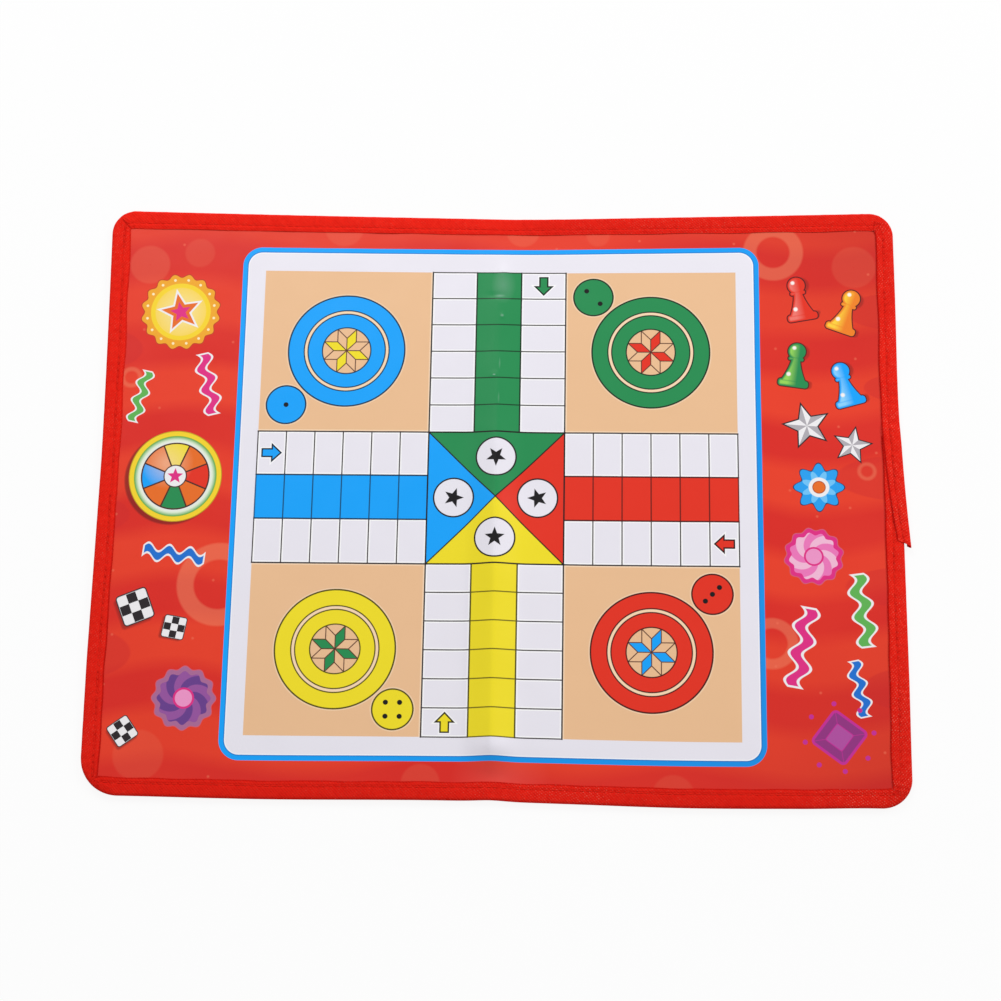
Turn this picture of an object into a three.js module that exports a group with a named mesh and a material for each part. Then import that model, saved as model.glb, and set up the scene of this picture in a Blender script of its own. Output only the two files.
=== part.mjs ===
// Folding ludo board: two stiff card panels between a printed face sheet and a backing sheet,
// bound all round with a folded tape and a row of stitching, and hinged by the cloth at its middle.
// Millimetres, +Z up. X runs across the two panels and Y along the fold.
// The origin is the middle of the fold line, on the surface that the open board lies on.

import * as THREE from "three";

// Overall size of the open board
const openWidth = 476;
const boardDepth = 360;
const cornerRadius = 13;

// Layers, from the backing up to the printed face
const backingThickness = 0.4;
const cardThickness = 1.8;
const faceThickness = 0.4;
const layerGap = 0.1;

// Binding tape, folded over the edges of the layers
const tapeThickness = 0.45;
const tapeWidth = 11;
const noseRadius = 1;
const edgeClearance = 0.5;
const buttGap = 0.3;

// Stitching, which pulls a shallow groove into the tape and lies in it
const stitchInset = 7;
const threadWidth = 0.6;
const threadThickness = 0.2;
const threadClearance = 0.1;

// Free end of the tape, lapped over its start on the right side and standing off the edge.
// The places along the side are distances from the board's middle, towards the rear.
const lapStart = 43;
const lapEnd = -24;
const lapSlant = 4;
const lapStandOff = 4.4;
const lapNarrowing = 3.5;
const lapHem = 0.6;
const underlap = 3;

// Fold: the gap between the cards, the soft stretch of binding, and the ridge in the face sheet
const cardGap = 10;
const softBinding = 12;
const ridgeHalfWidth = 24;
const ridgeHeight = 4.4;
const ridgeFade = 52;

// The cards stop a little short of the folded tape
const cardInset = 1.5;

// Steps in each rounded corner, in the tape's folded nose and along its free end
const cornerSteps = 6;
const noseSteps = 3;
const lapSteps = 7;

// Steepness of the ridge, and where its sheet has a row of points, as shares of its size
const ridgePower = 1.5;
const ridgeAcrossShares = [0, 0.15, 0.3, 0.5, 0.75, 1];
const ridgeFadeShares = [0, 0.25, 0.5, 0.75, 1];

// Heights and insets that follow from the layers
const halfWidth = openWidth / 2;
const halfDepth = boardDepth / 2;
const backingLevel = tapeThickness + layerGap;
const cardLevel = backingLevel + backingThickness + layerGap;
const faceLevel = cardLevel + cardThickness + layerGap;
const edgeHeight = faceLevel + faceThickness + layerGap + tapeThickness;
const sheetInset = tapeThickness + edgeClearance;

const left = -1;
const right = 1;
const rear = 1;
const front = -1;

// Stations round one corner of the board, from its rear or front edge to its side edge.
// A station has a centre, the outward direction there and the edge's distance from the centre.
function cornerTurn(side, end) {
  const turn = [];
  for (let i = 0; i <= cornerSteps; i++) {
    const angle = ((Math.PI / 2) * i) / cornerSteps;
    turn.push({
      x: side * (halfWidth - cornerRadius),
      y: end * (halfDepth - cornerRadius),
      outX: side * Math.sin(angle),
      outY: end * Math.cos(angle),
      radius: cornerRadius,
    });
  }
  return turn;
}

function endEdge(side, end, fromFold) {
  return { x: side * fromFold, y: end * halfDepth, outX: 0, outY: end, radius: 0 };
}

function sideEdge(side, y) {
  return { x: side * halfWidth, y, outX: side, outY: 0, radius: 0 };
}

function inward(station, inset) {
  const reach = station.radius - inset;
  return [station.x + station.outX * reach, station.y + station.outY * reach];
}

// Half of the board's outline, drawn in by an inset, from a line beside the fold to the side edge
function panelOutline(side, fromFold, inset) {
  const stations = [
    endEdge(side, rear, fromFold),
    ...cornerTurn(side, rear),
    ...cornerTurn(side, front).reverse(),
    endEdge(side, front, fromFold),
  ];
  return new THREE.Shape(stations.map((at) => new THREE.Vector2(...inward(at, inset))));
}

function plate(outline, thickness) {
  return new THREE.ExtrudeGeometry(outline, { depth: thickness, bevelEnabled: false });
}

// A closed mesh from points and triangles, turned the right way round if its faces point inwards
function facingOut(points, triangles) {
  const corner = (i) => new THREE.Vector3(...points[i]);
  const volume = triangles.reduce(
    (sum, [a, b, c]) => sum + corner(a).dot(corner(b).cross(corner(c))),
    0,
  );
  const outward = volume < 0 ? triangles.map(([a, b, c]) => [a, c, b]) : triangles;
  const geometry = new THREE.BufferGeometry();
  geometry.setAttribute("position", new THREE.Float32BufferAttribute(points.flat(), 3));
  geometry.setIndex(outward.flat());
  geometry.computeVertexNormals();
  return geometry;
}

// Triangles that fill a section, each turning the same way as the section itself
function capTriangles(section) {
  const outline = section.map(([across, up]) => new THREE.Vector2(across, up));
  const turn = THREE.ShapeUtils.area(outline);
  return THREE.ShapeUtils.triangulateShape(outline, []).map(([a, b, c]) => {
    const turned = THREE.ShapeUtils.area([outline[a], outline[b], outline[c]]) * turn < 0;
    return turned ? [a, c, b] : [a, b, c];
  });
}

// A closed body through rings of points, each ring one section of it
function loft(rings, section) {
  const count = section.length;
  const last = (rings.length - 1) * count;
  const caps = capTriangles(section);
  const triangles = [
    ...caps.map(([a, b, c]) => [a, c, b]),
    ...caps.map(([a, b, c]) => [last + a, last + b, last + c]),
  ];
  for (let ring = 0; ring + 1 < rings.length; ring++) {
    for (let i = 0; i < count; i++) {
      const a = ring * count + i;
      const b = ring * count + ((i + 1) % count);
      triangles.push([a, b, b + count], [a, b + count, a + count]);
    }
  }
  return facingOut(rings.flat(), triangles);
}

// A section of [inset from the edge, height] points carried along the board's edge
function along(stations, section) {
  const rings = stations.map((at) => section.map(([inset, up]) => [...inward(at, inset), up]));
  return loft(rings, section);
}

// Quarter turn of a section's rounded fold, round a centre at the same inset and height as its radius
function noseArc(centreUp, radius, fromTop) {
  const arc = [];
  for (let i = 0; i <= noseSteps; i++) {
    const angle = ((Math.PI / 2) * i) / noseSteps;
    const sink = fromTop ? -1 : 1;
    arc.push([noseRadius - radius * Math.sin(angle), centreUp - sink * radius * Math.cos(angle)]);
  }
  return arc;
}

// Section of the tape: two plies joined by a rounded nose, with the stitching's grooves
function tapeSection() {
  const top = edgeHeight;
  const innerRadius = noseRadius - tapeThickness;
  const upperCentre = top - noseRadius;
  const grooveDepth = threadThickness + threadClearance;
  const grooveHalf = threadWidth / 2 + threadClearance;
  const grooveIn = stitchInset + grooveHalf;
  const grooveOut = stitchInset - grooveHalf;
  return [
    [tapeWidth, 0],
    [grooveIn, 0],
    [grooveIn, grooveDepth],
    [grooveOut, grooveDepth],
    [grooveOut, 0],
    ...noseArc(noseRadius, noseRadius, false),
    ...noseArc(upperCentre, noseRadius, true).reverse(),
    [grooveOut, top],
    [grooveOut, top - grooveDepth],
    [grooveIn, top - grooveDepth],
    [grooveIn, top],
    [tapeWidth, top],
    [tapeWidth, top - tapeThickness],
    ...noseArc(upperCentre, innerRadius, true),
    ...noseArc(noseRadius, innerRadius, false).reverse(),
    [tapeWidth, tapeThickness],
  ];
}

// Section of a thread lying in one of the tape's grooves, from its lower side up
function threadSection(low) {
  const half = threadWidth / 2;
  return [
    [stitchInset - half, low],
    [stitchInset + half, low],
    [stitchInset + half, low + threadThickness],
    [stitchInset - half, low + threadThickness],
  ];
}

// Free end of the tape: its upper ply and nose, lying over the tape's start
function lapRing(share) {
  const drift = share * share;
  const standOff = tapeThickness + layerGap + (lapStandOff - tapeThickness - layerGap) * drift;
  const width = tapeWidth - lapNarrowing * drift;
  const low = edgeHeight + layerGap;
  const upperCentre = low + tapeThickness - noseRadius;
  const section = [
    [width, low],
    [width, low + tapeThickness],
    ...noseArc(upperCentre, noseRadius, true),
    [0, lapHem],
    [tapeThickness, lapHem],
    ...noseArc(upperCentre, noseRadius - tapeThickness, true).reverse(),
  ];
  const y = lapStart + (lapEnd - lapSlant - lapStart) * share;
  const ring = section.map(([inset, up]) => [
    halfWidth + standOff - inset,
    y + (lapSlant * drift * inset) / width,
    up,
  ]);
  return { section, ring };
}

function lapBody() {
  const cuts = [];
  for (let i = 0; i <= lapSteps; i++) {
    cuts.push(lapRing(i / lapSteps));
  }
  return loft(
    cuts.map((cut) => cut.ring),
    cuts[0].section,
  );
}

// How much of the ridge's height stands at a distance from the fold, and at a place along it
function ridgeRise(fromFold, y) {
  const across = Math.pow(Math.max(1 - fromFold / ridgeHalfWidth, 0), ridgePower);
  const fade = THREE.MathUtils.smoothstep(halfDepth - tapeWidth - Math.abs(y), 0, ridgeFade);
  return ridgeHeight * across * fade;
}

// One side of the ridge: the face sheet where it stands up beside the fold
function ridgeSheet(side) {
  const nearest = buttGap / 2;
  const xs = ridgeAcrossShares.map((share) => nearest + (ridgeHalfWidth - nearest) * share);
  const fadeRows = ridgeFadeShares.map((share) => halfDepth - tapeWidth - ridgeFade * share);
  const halfRows = [halfDepth - sheetInset, ...fadeRows];
  const ys = [...halfRows, ...halfRows.map((y) => -y).reverse()];
  const points = [];
  for (const y of ys) {
    for (const x of xs) {
      const level = faceLevel + ridgeRise(x, y);
      points.push([side * x, y, level], [side * x, y, level + faceThickness]);
    }
  }
  const at = (row, column, layer) => 2 * (row * xs.length + column) + layer;
  const quad = (a, b, c, d) => [
    [a, b, c],
    [a, c, d],
  ];
  const triangles = [];
  const lastRow = ys.length - 1;
  const lastColumn = xs.length - 1;
  for (let r = 0; r < lastRow; r++) {
    for (let c = 0; c < lastColumn; c++) {
      triangles.push(
        ...quad(at(r, c, 1), at(r + 1, c, 1), at(r + 1, c + 1, 1), at(r, c + 1, 1)),
        ...quad(at(r, c, 0), at(r, c + 1, 0), at(r + 1, c + 1, 0), at(r + 1, c, 0)),
      );
    }
    triangles.push(
      ...quad(at(r, 0, 0), at(r + 1, 0, 0), at(r + 1, 0, 1), at(r, 0, 1)),
      ...quad(
        at(r, lastColumn, 0),
        at(r, lastColumn, 1),
        at(r + 1, lastColumn, 1),
        at(r + 1, lastColumn, 0),
      ),
    );
  }
  for (let c = 0; c < lastColumn; c++) {
    triangles.push(
      ...quad(at(0, c, 0), at(0, c, 1), at(0, c + 1, 1), at(0, c + 1, 0)),
      ...quad(
        at(lastRow, c, 0),
        at(lastRow, c + 1, 0),
        at(lastRow, c + 1, 1),
        at(lastRow, c, 1),
      ),
    );
  }
  return facingOut(points, triangles);
}

const colours = {
  print: 0xe14132,
  cloth: 0xd42a20,
  card: 0x9c9384,
  thread: 0xb81c14,
};

const finishes = {
  print: { color: colours.print, roughness: 0.45, metalness: 0 },
  cloth: { color: colours.cloth, roughness: 0.85, metalness: 0 },
  card: { color: colours.card, roughness: 0.9, metalness: 0 },
  thread: { color: colours.thread, roughness: 0.6, metalness: 0 },
};

function piece(name, geometry, finish, level = 0) {
  const mesh = new THREE.Mesh(geometry, new THREE.MeshStandardMaterial(finishes[finish]));
  mesh.name = name;
  mesh.position.z = level;
  return mesh;
}

// The stiff card, the two sheets that cover it and the ridge beside the fold, for one panel
function panelLayers(side, word) {
  const cardOutline = panelOutline(side, cardGap / 2, sheetInset + cardInset);
  const backingOutline = panelOutline(side, cardGap / 2 + buttGap, sheetInset);
  const faceOutline = panelOutline(side, ridgeHalfWidth + buttGap, sheetInset);
  return [
    piece(`backing_${word}`, plate(backingOutline, backingThickness), "cloth", backingLevel),
    piece(`card_${word}`, plate(cardOutline, cardThickness), "card", cardLevel),
    piece(`face_${word}`, plate(faceOutline, faceThickness), "print", faceLevel),
    piece(`face_ridge_${word}`, ridgeSheet(side), "print"),
  ];
}

// The tape along one stretch of the edge
function tape(name, stations) {
  return piece(name, along(stations, tapeSection()), "cloth");
}

// The two threads of one stretch of stitching: the needle's above and the bobbin's below
function threads(word, stations) {
  const upper = threadSection(edgeHeight - threadThickness);
  const lower = threadSection(0);
  return [
    piece(`needle_thread_${word}`, along(stations, upper), "thread"),
    piece(`bobbin_thread_${word}`, along(stations, lower), "thread"),
  ];
}

// The soft stretches of binding that cross the fold at its rear or front end
function foldBinding(word, end) {
  const reach = softBinding / 2 - buttGap;
  const crossing = [endEdge(left, end, reach), endEdge(right, end, reach)];
  return [tape(`binding_fold_${word}`, crossing), ...threads(`fold_${word}`, crossing)];
}

const backingStrip = new THREE.BoxGeometry(
  cardGap,
  boardDepth - 2 * sheetInset,
  backingThickness,
);
const bindingFrom = softBinding / 2;
const lapUnder = lapStart - underlap;
const rearRun = [endEdge(right, rear, bindingFrom), ...cornerTurn(right, rear)];
const frontRun = [...cornerTurn(right, front).reverse(), endEdge(right, front, bindingFrom)];
const leftRun = [
  endEdge(left, rear, bindingFrom),
  ...cornerTurn(left, rear),
  ...cornerTurn(left, front).reverse(),
  endEdge(left, front, bindingFrom),
];

const leftPanel = new THREE.Group();
leftPanel.add(
  ...panelLayers(left, "left"),
  tape("binding_left", leftRun),
  ...threads("left", leftRun),
  piece("backing_fold", backingStrip, "cloth", backingLevel + backingThickness / 2),
  ...foldBinding("rear", rear),
  ...foldBinding("front", front),
);

const rightPanel = new THREE.Group();
rightPanel.add(
  ...panelLayers(right, "right"),
  tape("binding_right_rear", [...rearRun, sideEdge(right, lapUnder + buttGap)]),
  tape("binding_right_front", [sideEdge(right, lapUnder), ...frontRun]),
  piece("binding_lap", lapBody(), "cloth"),
  ...threads("right", [...rearRun, ...frontRun]),
);

const board = new THREE.Group();
board.add(leftPanel, rightPanel);

export default board;
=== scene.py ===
# Folding ludo board: printed face, backing, folded binding tape and stitching, round the packed
# frame. Metres, +Z up. X runs across the two panels and Y along the fold.

import math

import bpy
import numpy as np
from bpy.props import FloatProperty, FloatVectorProperty, IntProperty, PointerProperty
from mathutils import Euler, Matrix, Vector


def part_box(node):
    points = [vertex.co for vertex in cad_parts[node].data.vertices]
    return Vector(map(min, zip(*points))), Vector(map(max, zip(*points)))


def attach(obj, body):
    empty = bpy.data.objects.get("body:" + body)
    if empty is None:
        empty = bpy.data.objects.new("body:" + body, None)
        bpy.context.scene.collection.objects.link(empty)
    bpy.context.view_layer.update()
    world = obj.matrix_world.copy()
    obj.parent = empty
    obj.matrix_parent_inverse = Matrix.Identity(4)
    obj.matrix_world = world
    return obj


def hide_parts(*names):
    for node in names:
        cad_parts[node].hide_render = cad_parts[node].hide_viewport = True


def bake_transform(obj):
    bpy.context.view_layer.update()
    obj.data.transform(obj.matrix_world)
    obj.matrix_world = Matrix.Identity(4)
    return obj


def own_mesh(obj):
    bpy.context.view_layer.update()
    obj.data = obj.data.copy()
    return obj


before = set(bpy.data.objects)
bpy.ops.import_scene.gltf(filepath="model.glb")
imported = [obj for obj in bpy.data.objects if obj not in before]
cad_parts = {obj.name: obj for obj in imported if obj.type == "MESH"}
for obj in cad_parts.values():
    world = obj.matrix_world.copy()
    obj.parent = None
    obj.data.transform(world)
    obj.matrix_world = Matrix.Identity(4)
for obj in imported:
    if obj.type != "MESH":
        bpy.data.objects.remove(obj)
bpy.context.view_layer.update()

bl_info = {
    "name": "Folding ludo board",
    "version": (1, 0, 0),
    "blender": (4, 5, 0),
    "location": "3D View > Sidebar > Ludo board",
    "description": "Builds a folding ludo board: printed face, backing, binding and stitching",
    "category": "Add Mesh",
}

MM = 0.001
FULL_TURN = 2 * math.pi


def ink(red, green, blue):
    """A colour as it is seen, in steps of 0 to 255, as the light that a shader works with."""
    seen = np.array([red, green, blue]) / 255
    light = np.where(seen <= 0.04045, seen / 12.92, ((seen + 0.055) / 1.055) ** 2.4)
    return tuple(float(value) for value in light)


# Sizes that the frame gives
FACE_LOW, FACE_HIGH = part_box("face_left")
BACKING_LOW, BACKING_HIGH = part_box("backing_left")
TAPE_LOW, TAPE_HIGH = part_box("binding_left")
RIDGE_LOW, RIDGE_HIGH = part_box("face_ridge_left")
CARD_LOW, CARD_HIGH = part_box("card_left")
HALF_WIDTH = -TAPE_LOW.x
HALF_DEPTH = TAPE_HIGH.y
TAPE_TOP = TAPE_HIGH.z
FACE_TOP = FACE_HIGH.z
SHEET_INSET = HALF_WIDTH + FACE_LOW.x
CARD_INSET = HALF_WIDTH + CARD_LOW.x
RIDGE_REACH = -RIDGE_LOW.x
RIDGE_HEIGHT = RIDGE_HIGH.z - FACE_TOP
LEFT, RIGHT = "left_panel", "right_panel"


class BoardSizes(bpy.types.PropertyGroup):
    """Sizes of the print, the binding and the stitching."""

    cell: FloatProperty(
        name="Cell length", description="Length of one track cell",
        default=17.11 * MM, unit="LENGTH",
    )
    lane: FloatProperty(
        name="Lane width", description="Width of one lane of cells",
        default=27.02 * MM, unit="LENGTH",
    )
    tape_width: FloatProperty(
        name="Tape width", description="Visible width of the binding",
        default=10.8 * MM, unit="LENGTH",
    )
    stitch_inset: FloatProperty(
        name="Stitch inset", description="Stitching row from the edge",
        default=7 * MM, unit="LENGTH",
    )
    stitch_pitch: FloatProperty(
        name="Stitch pitch", description="Length of one stitch",
        default=4.1 * MM, unit="LENGTH",
    )
    thread_width: FloatProperty(
        name="Thread width", description="Diameter of the sewing thread",
        default=0.55 * MM, unit="LENGTH",
    )
    seed: IntProperty(
        name="Seed", description="Seed of the cloth's small unevenness", default=11, min=0,
    )


class BoardColours(bpy.types.PropertyGroup):
    """Colours of the inks and the cloth."""

    ground: FloatVectorProperty(
        name="Ground", description="Red round the field", subtype="COLOR", default=ink(228, 53, 35)
    )
    blue: FloatVectorProperty(
        name="Blue", description="Blue ink", subtype="COLOR", default=ink(6, 163, 252)
    )
    green: FloatVectorProperty(
        name="Green", description="Green ink", subtype="COLOR", default=ink(34, 140, 80)
    )
    red: FloatVectorProperty(
        name="Red", description="Red ink", subtype="COLOR", default=ink(228, 48, 28)
    )
    yellow: FloatVectorProperty(
        name="Yellow", description="Yellow ink", subtype="COLOR", default=ink(241, 222, 36)
    )
    tan: FloatVectorProperty(
        name="Tan", description="Yards", subtype="COLOR", default=ink(235, 190, 147)
    )
    white: FloatVectorProperty(
        name="White", description="Cells and field", subtype="COLOR", default=ink(234, 231, 240)
    )
    line: FloatVectorProperty(
        name="Line", description="Ruled lines", subtype="COLOR", default=ink(24, 18, 20)
    )
    cloth: FloatVectorProperty(
        name="Cloth", description="Binding cloth", subtype="COLOR", default=ink(237, 36, 22)
    )
    thread: FloatVectorProperty(
        name="Thread", description="Sewing thread", subtype="COLOR", default=ink(238, 40, 24)
    )


# Fields of a material: values worked out at every point of a surface


class Field:
    """A socket of a material's nodes, on which sums can be written as on a number."""

    def __init__(self, tree, socket):
        self.tree = tree
        self.socket = socket

    def __add__(self, other):
        return calc(self.tree, "ADD", self, other)

    def __radd__(self, other):
        return calc(self.tree, "ADD", other, self)

    def __sub__(self, other):
        return calc(self.tree, "SUBTRACT", self, other)

    def __rsub__(self, other):
        return calc(self.tree, "SUBTRACT", other, self)

    def __mul__(self, other):
        return calc(self.tree, "MULTIPLY", self, other)

    def __rmul__(self, other):
        return calc(self.tree, "MULTIPLY", other, self)

    def __truediv__(self, other):
        return calc(self.tree, "DIVIDE", self, other)

    def __neg__(self):
        return calc(self.tree, "MULTIPLY", self, -1)

    def __abs__(self):
        return calc(self.tree, "ABSOLUTE", self)


def feed(tree, value, socket):
    """Links a field to a socket, or sets a plain value on it."""
    if isinstance(value, Field):
        tree.links.new(value.socket, socket)
    else:
        socket.default_value = value


def calc(tree, operation, *values, clamp=False):
    """One Math node's result."""
    node = tree.nodes.new("ShaderNodeMath")
    node.operation = operation
    node.use_clamp = clamp
    for place, value in enumerate(values):
        feed(tree, value, node.inputs[place])
    return Field(tree, node.outputs[0])


def vector(tree, operation, *values, scale=None):
    """One Vector Math node's result: a number for a length or distance, otherwise a vector."""
    node = tree.nodes.new("ShaderNodeVectorMath")
    node.operation = operation
    for place, value in enumerate(values):
        feed(tree, value, node.inputs[place])
    if scale is not None:
        feed(tree, scale, node.inputs["Scale"])
    number = operation in ("LENGTH", "DISTANCE", "DOT_PRODUCT")
    return Field(tree, node.outputs["Value" if number else "Vector"])


def parts(place, count=2):
    """The x and y of a vector field, or all three of its values."""
    node = place.tree.nodes.new("ShaderNodeSeparateXYZ")
    feed(place.tree, place, node.inputs[0])
    return [Field(place.tree, node.outputs[k]) for k in range(count)]


def larger(a, b):
    return calc(a.tree, "MAXIMUM", a, b)


def smaller(a, b):
    return calc(a.tree, "MINIMUM", a, b)


def more_than(a, b):
    return calc(a.tree, "GREATER_THAN", a, b)


def less_than(a, b):
    return calc(a.tree, "LESS_THAN", a, b)


def clamped(field, gain=1, shift=0):
    """The field times the gain, plus the shift, kept between 0 and 1."""
    return calc(field.tree, "MULTIPLY_ADD", field, gain, shift, clamp=True)


def sine(field):
    return calc(field.tree, "SINE", field)


def cosine(field):
    return calc(field.tree, "COSINE", field)


def remainder(field, period):
    return calc(field.tree, "FLOORED_MODULO", field, period)


def back_and_forth(field, reach):
    """Runs from 0 up to the reach and back to 0, over and over."""
    return calc(field.tree, "PINGPONG", field, reach)


def hypotenuse(x, y):
    return calc(x.tree, "SQRT", x * x + y * y)


def how_far(place):
    return vector(place.tree, "LENGTH", place)


def from_spot(place, x, y):
    return vector(place.tree, "DISTANCE", place, (x, y, 0))


def local(place, x, y, turn=0, size=1):
    """The plane seen from a motif: moved to its middle, turned with it and in its size."""
    node = place.tree.nodes.new("ShaderNodeMapping")
    node.vector_type = "TEXTURE"
    node.inputs["Location"].default_value = (x, y, 0)
    node.inputs["Rotation"].default_value = (0, 0, math.radians(turn))
    wide, tall = size if isinstance(size, tuple) else (size, size)
    node.inputs["Scale"].default_value = (wide, tall, 1)
    feed(place.tree, place, node.inputs["Vector"])
    return Field(place.tree, node.outputs[0])


def motif(place, x, y, turn, size):
    """The plane seen from a motif whose middle is given in millimetres."""
    return local(place, x * MM, y * MM, turn, size)


def nearest(place, spots):
    """The plane seen from the nearest of some like motifs, and that one's number."""
    best = motif(place, *spots[0])
    number = 0
    for count, spot in enumerate(spots[1:], 1):
        there = motif(place, *spot)
        closer = less_than(how_far(there), how_far(best))
        best = mixed(place.tree, closer, best, there, "VECTOR")
        number = mixed(place.tree, closer, number, count, "FLOAT")
    return best, number


def mixed(tree, share, first, second, kind="RGBA"):
    """Two colours, vectors or numbers mixed by a share."""
    node = tree.nodes.new("ShaderNodeMix")
    node.data_type = kind
    node.clamp_factor = True
    place = {"FLOAT": 2, "VECTOR": 4, "RGBA": 6}[kind]
    feed(tree, share, node.inputs[0])
    for value, socket in ((first, node.inputs[place]), (second, node.inputs[place + 1])):
        if kind == "RGBA" and not isinstance(value, Field):
            value = (*value, 1)
        feed(tree, value, socket)
    return Field(tree, node.outputs[{"FLOAT": 0, "VECTOR": 1, "RGBA": 2}[kind]])


PRINT_SOFT = 0.12 * MM


def inside(distance, soft=PRINT_SOFT):
    """1 where a signed distance is below zero and 0 where it is above, with a soft edge."""
    return clamped(distance, -0.5 / soft, 0.5)


def ruled(distance, width, soft=PRINT_SOFT):
    """A line of that width where the distance is zero."""
    return inside(abs(distance) - width / 2, soft)


def ramp_of(field, stops, kind="LINEAR"):
    """A colour ramp's result for stops of (place, colour)."""
    node = field.tree.nodes.new("ShaderNodeValToRGB")
    node.color_ramp.interpolation = kind
    elements = node.color_ramp.elements
    while len(elements) < len(stops):
        elements.new(1)
    for element, (place, colour) in zip(elements, stops):
        element.position = place
        element.color = (*colour, 1)
    feed(field.tree, field, node.inputs[0])
    return Field(field.tree, node.outputs[0])


def cloudy(place, scale, detail=2, roughness=0.5):
    """Soft noise between 0 and 1, of that many cells to a metre."""
    node = place.tree.nodes.new("ShaderNodeTexNoise")
    node.inputs["Scale"].default_value = scale
    node.inputs["Detail"].default_value = detail
    node.inputs["Roughness"].default_value = roughness
    feed(place.tree, place, node.inputs["Vector"])
    return Field(place.tree, node.outputs["Fac"])


def object_place(tree):
    node = tree.nodes.new("ShaderNodeTexCoord")
    return Field(tree, node.outputs["Object"])


def named_place(tree, name):
    node = tree.nodes.new("ShaderNodeAttribute")
    node.attribute_name = name
    return Field(tree, node.outputs["Vector"])


def new_material(name, roughness, **constants):
    """A material with its surface shader, whose constant values are set on its own sockets."""
    material = bpy.data.materials.new(name)
    material.use_nodes = True
    tree = material.node_tree
    tree.nodes.clear()
    shader = tree.nodes.new("ShaderNodeBsdfPrincipled")
    shader.inputs["Roughness"].default_value = roughness
    for socket, value in constants.items():
        shader.inputs[socket.replace("_", " ")].default_value = value
    output = tree.nodes.new("ShaderNodeOutputMaterial")
    tree.links.new(shader.outputs[0], output.inputs["Surface"])
    return material, tree, shader


def finish_surface(shader, colour, height, distance, strength=1.0):
    """Gives a shader its colour field, and bump from a height field of about 0 to 1."""
    tree = height.tree
    feed(tree, colour, shader.inputs["Base Color"])
    bump = tree.nodes.new("ShaderNodeBump")
    bump.inputs["Distance"].default_value = distance
    bump.inputs["Strength"].default_value = strength
    feed(tree, height, bump.inputs["Height"])
    tree.links.new(bump.outputs[0], shader.inputs["Normal"])


# Shapes of the print: each gives the signed distance to its edge, negative inside


def disc(place, x, y, radius):
    """Distance from a middle point, less the radius."""
    return from_spot(place, x, y) - radius


def oval(place, x, y, wide, tall):
    """Distance from an oval's middle in shares of its half sizes, all given in millimetres."""
    return how_far(local(place, x * MM, y * MM, 0, (wide * MM, tall * MM)))


def slab(x, y, half_x, half_y, rounding=0):
    """Rounded rectangle: the larger overrun of its two half sides, or the distance from the centre
    of its rounded corner."""
    over_x = abs(x) - (half_x - rounding)
    over_y = abs(y) - (half_y - rounding)
    if not rounding:
        return larger(over_x, over_y)
    out_x, out_y = larger(over_x, 0), larger(over_y, 0)
    return hypotenuse(out_x, out_y) + smaller(larger(over_x, over_y), 0) - rounding


def polar(place, turn=0):
    """Distance from the middle, and angle round it from -pi to pi."""
    x, y = parts(place)
    return how_far(place), calc(place.tree, "ARCTAN2", y, x) + math.radians(turn)


def folded_angle(angle, count):
    """The angle from the nearest of so many evenly spaced rays."""
    return back_and_forth(angle + 2 * FULL_TURN, FULL_TURN / count / 2)


def wedge(reach, angle, count):
    """How far out a point lies along the nearest of so many rays, and how far beside it."""
    away = folded_angle(angle, count)
    return reach * cosine(away), reach * sine(away)


def beads(reach, angle, count, ring, radius):
    """Discs spaced evenly on a ring: the distance from the nearest one's edge."""
    out, beside = wedge(reach, angle, count)
    return hypotenuse(out - ring, beside) - radius


def star(place, points, outer, inner, turn=90):
    """Star polygon: in a wedge from a tip to the next notch, the distance from the line between."""
    reach, angle = polar(place, -turn)
    half = math.pi / points
    x, y = wedge(reach, angle, points)
    notch_x, notch_y = inner * math.cos(half), inner * math.sin(half)
    side = math.hypot(notch_y, outer - notch_x)
    return (x - outer) * (notch_y / side) + y * ((outer - notch_x) / side)


def flower(place, petals, radius, depth, turn=0):
    """Ring of petals: the radius swells and shrinks with the cosine of the angle."""
    reach, angle = polar(place, turn)
    return reach - cosine(angle * petals) * (radius * depth) - radius * (1 - depth)


class Layers:
    """Inks laid over one another on the sheet."""

    def __init__(self, tree, ground):
        self.tree = tree
        self.colour = ground

    def lay(self, share, colour):
        self.colour = mixed(self.tree, share, self.colour, colour)

    def stamp(self, distance, colour, edge=None, edge_width=0.8 * MM):
        """A filled shape, with a line round it where an edge colour is given."""
        if edge is not None:
            self.lay(inside(distance - edge_width), edge)
        self.lay(inside(distance), colour)


def choice(number, colours):
    """The colour of that number, from 0."""
    count = len(colours)
    stops = [(max((k - 0.5) / count, 0), colour) for k, colour in enumerate(colours)]
    return ramp_of(number / count, stops, "CONSTANT")


# Sizes of the print that the driving sizes don't give
LANES_IN_ARM = 3
CELLS_IN_LANE = 6
LINE = 0.74 * MM
FINE_LINE = 0.8 * LINE
OUTLINE = 0.92 * MM
HALO = 2.2 * MM
HALO_SOFT = 0.25 * MM
FRAME_HALF_X = 157.25 * MM
FRAME_HALF_Y = 158.05 * MM
FRAME_SHIFT = 0.7 * MM
FRAME_SKEW = 0.0034
FRAME_LINE = 3.1 * MM
FRAME_DARK_LINE = 0.9 * MM
FRAME_BRIGHT_FROM = 0.2 * MM
FRAME_WHITE_FROM = 0.8 * MM
FRAME_RADIUS = 12 * MM
FRAME_FADE_X, FRAME_FADE_Y, FRAME_FADE_LEVEL = 2, -1.2, 0.1
YARD_DISC = 35.3 * MM
YARD_RING = 24.6 * MM
YARD_RING_WIDTH = 2.3 * MM
YARD_HUB = 14.7 * MM
HUB_NOTCH = 7.95 * MM
START_DISC = 11.9 * MM
START_FROM_END = 16.0 * MM
START_FROM_ARM = 16.7 * MM
HOME_DISC = 11.8 * MM
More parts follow.
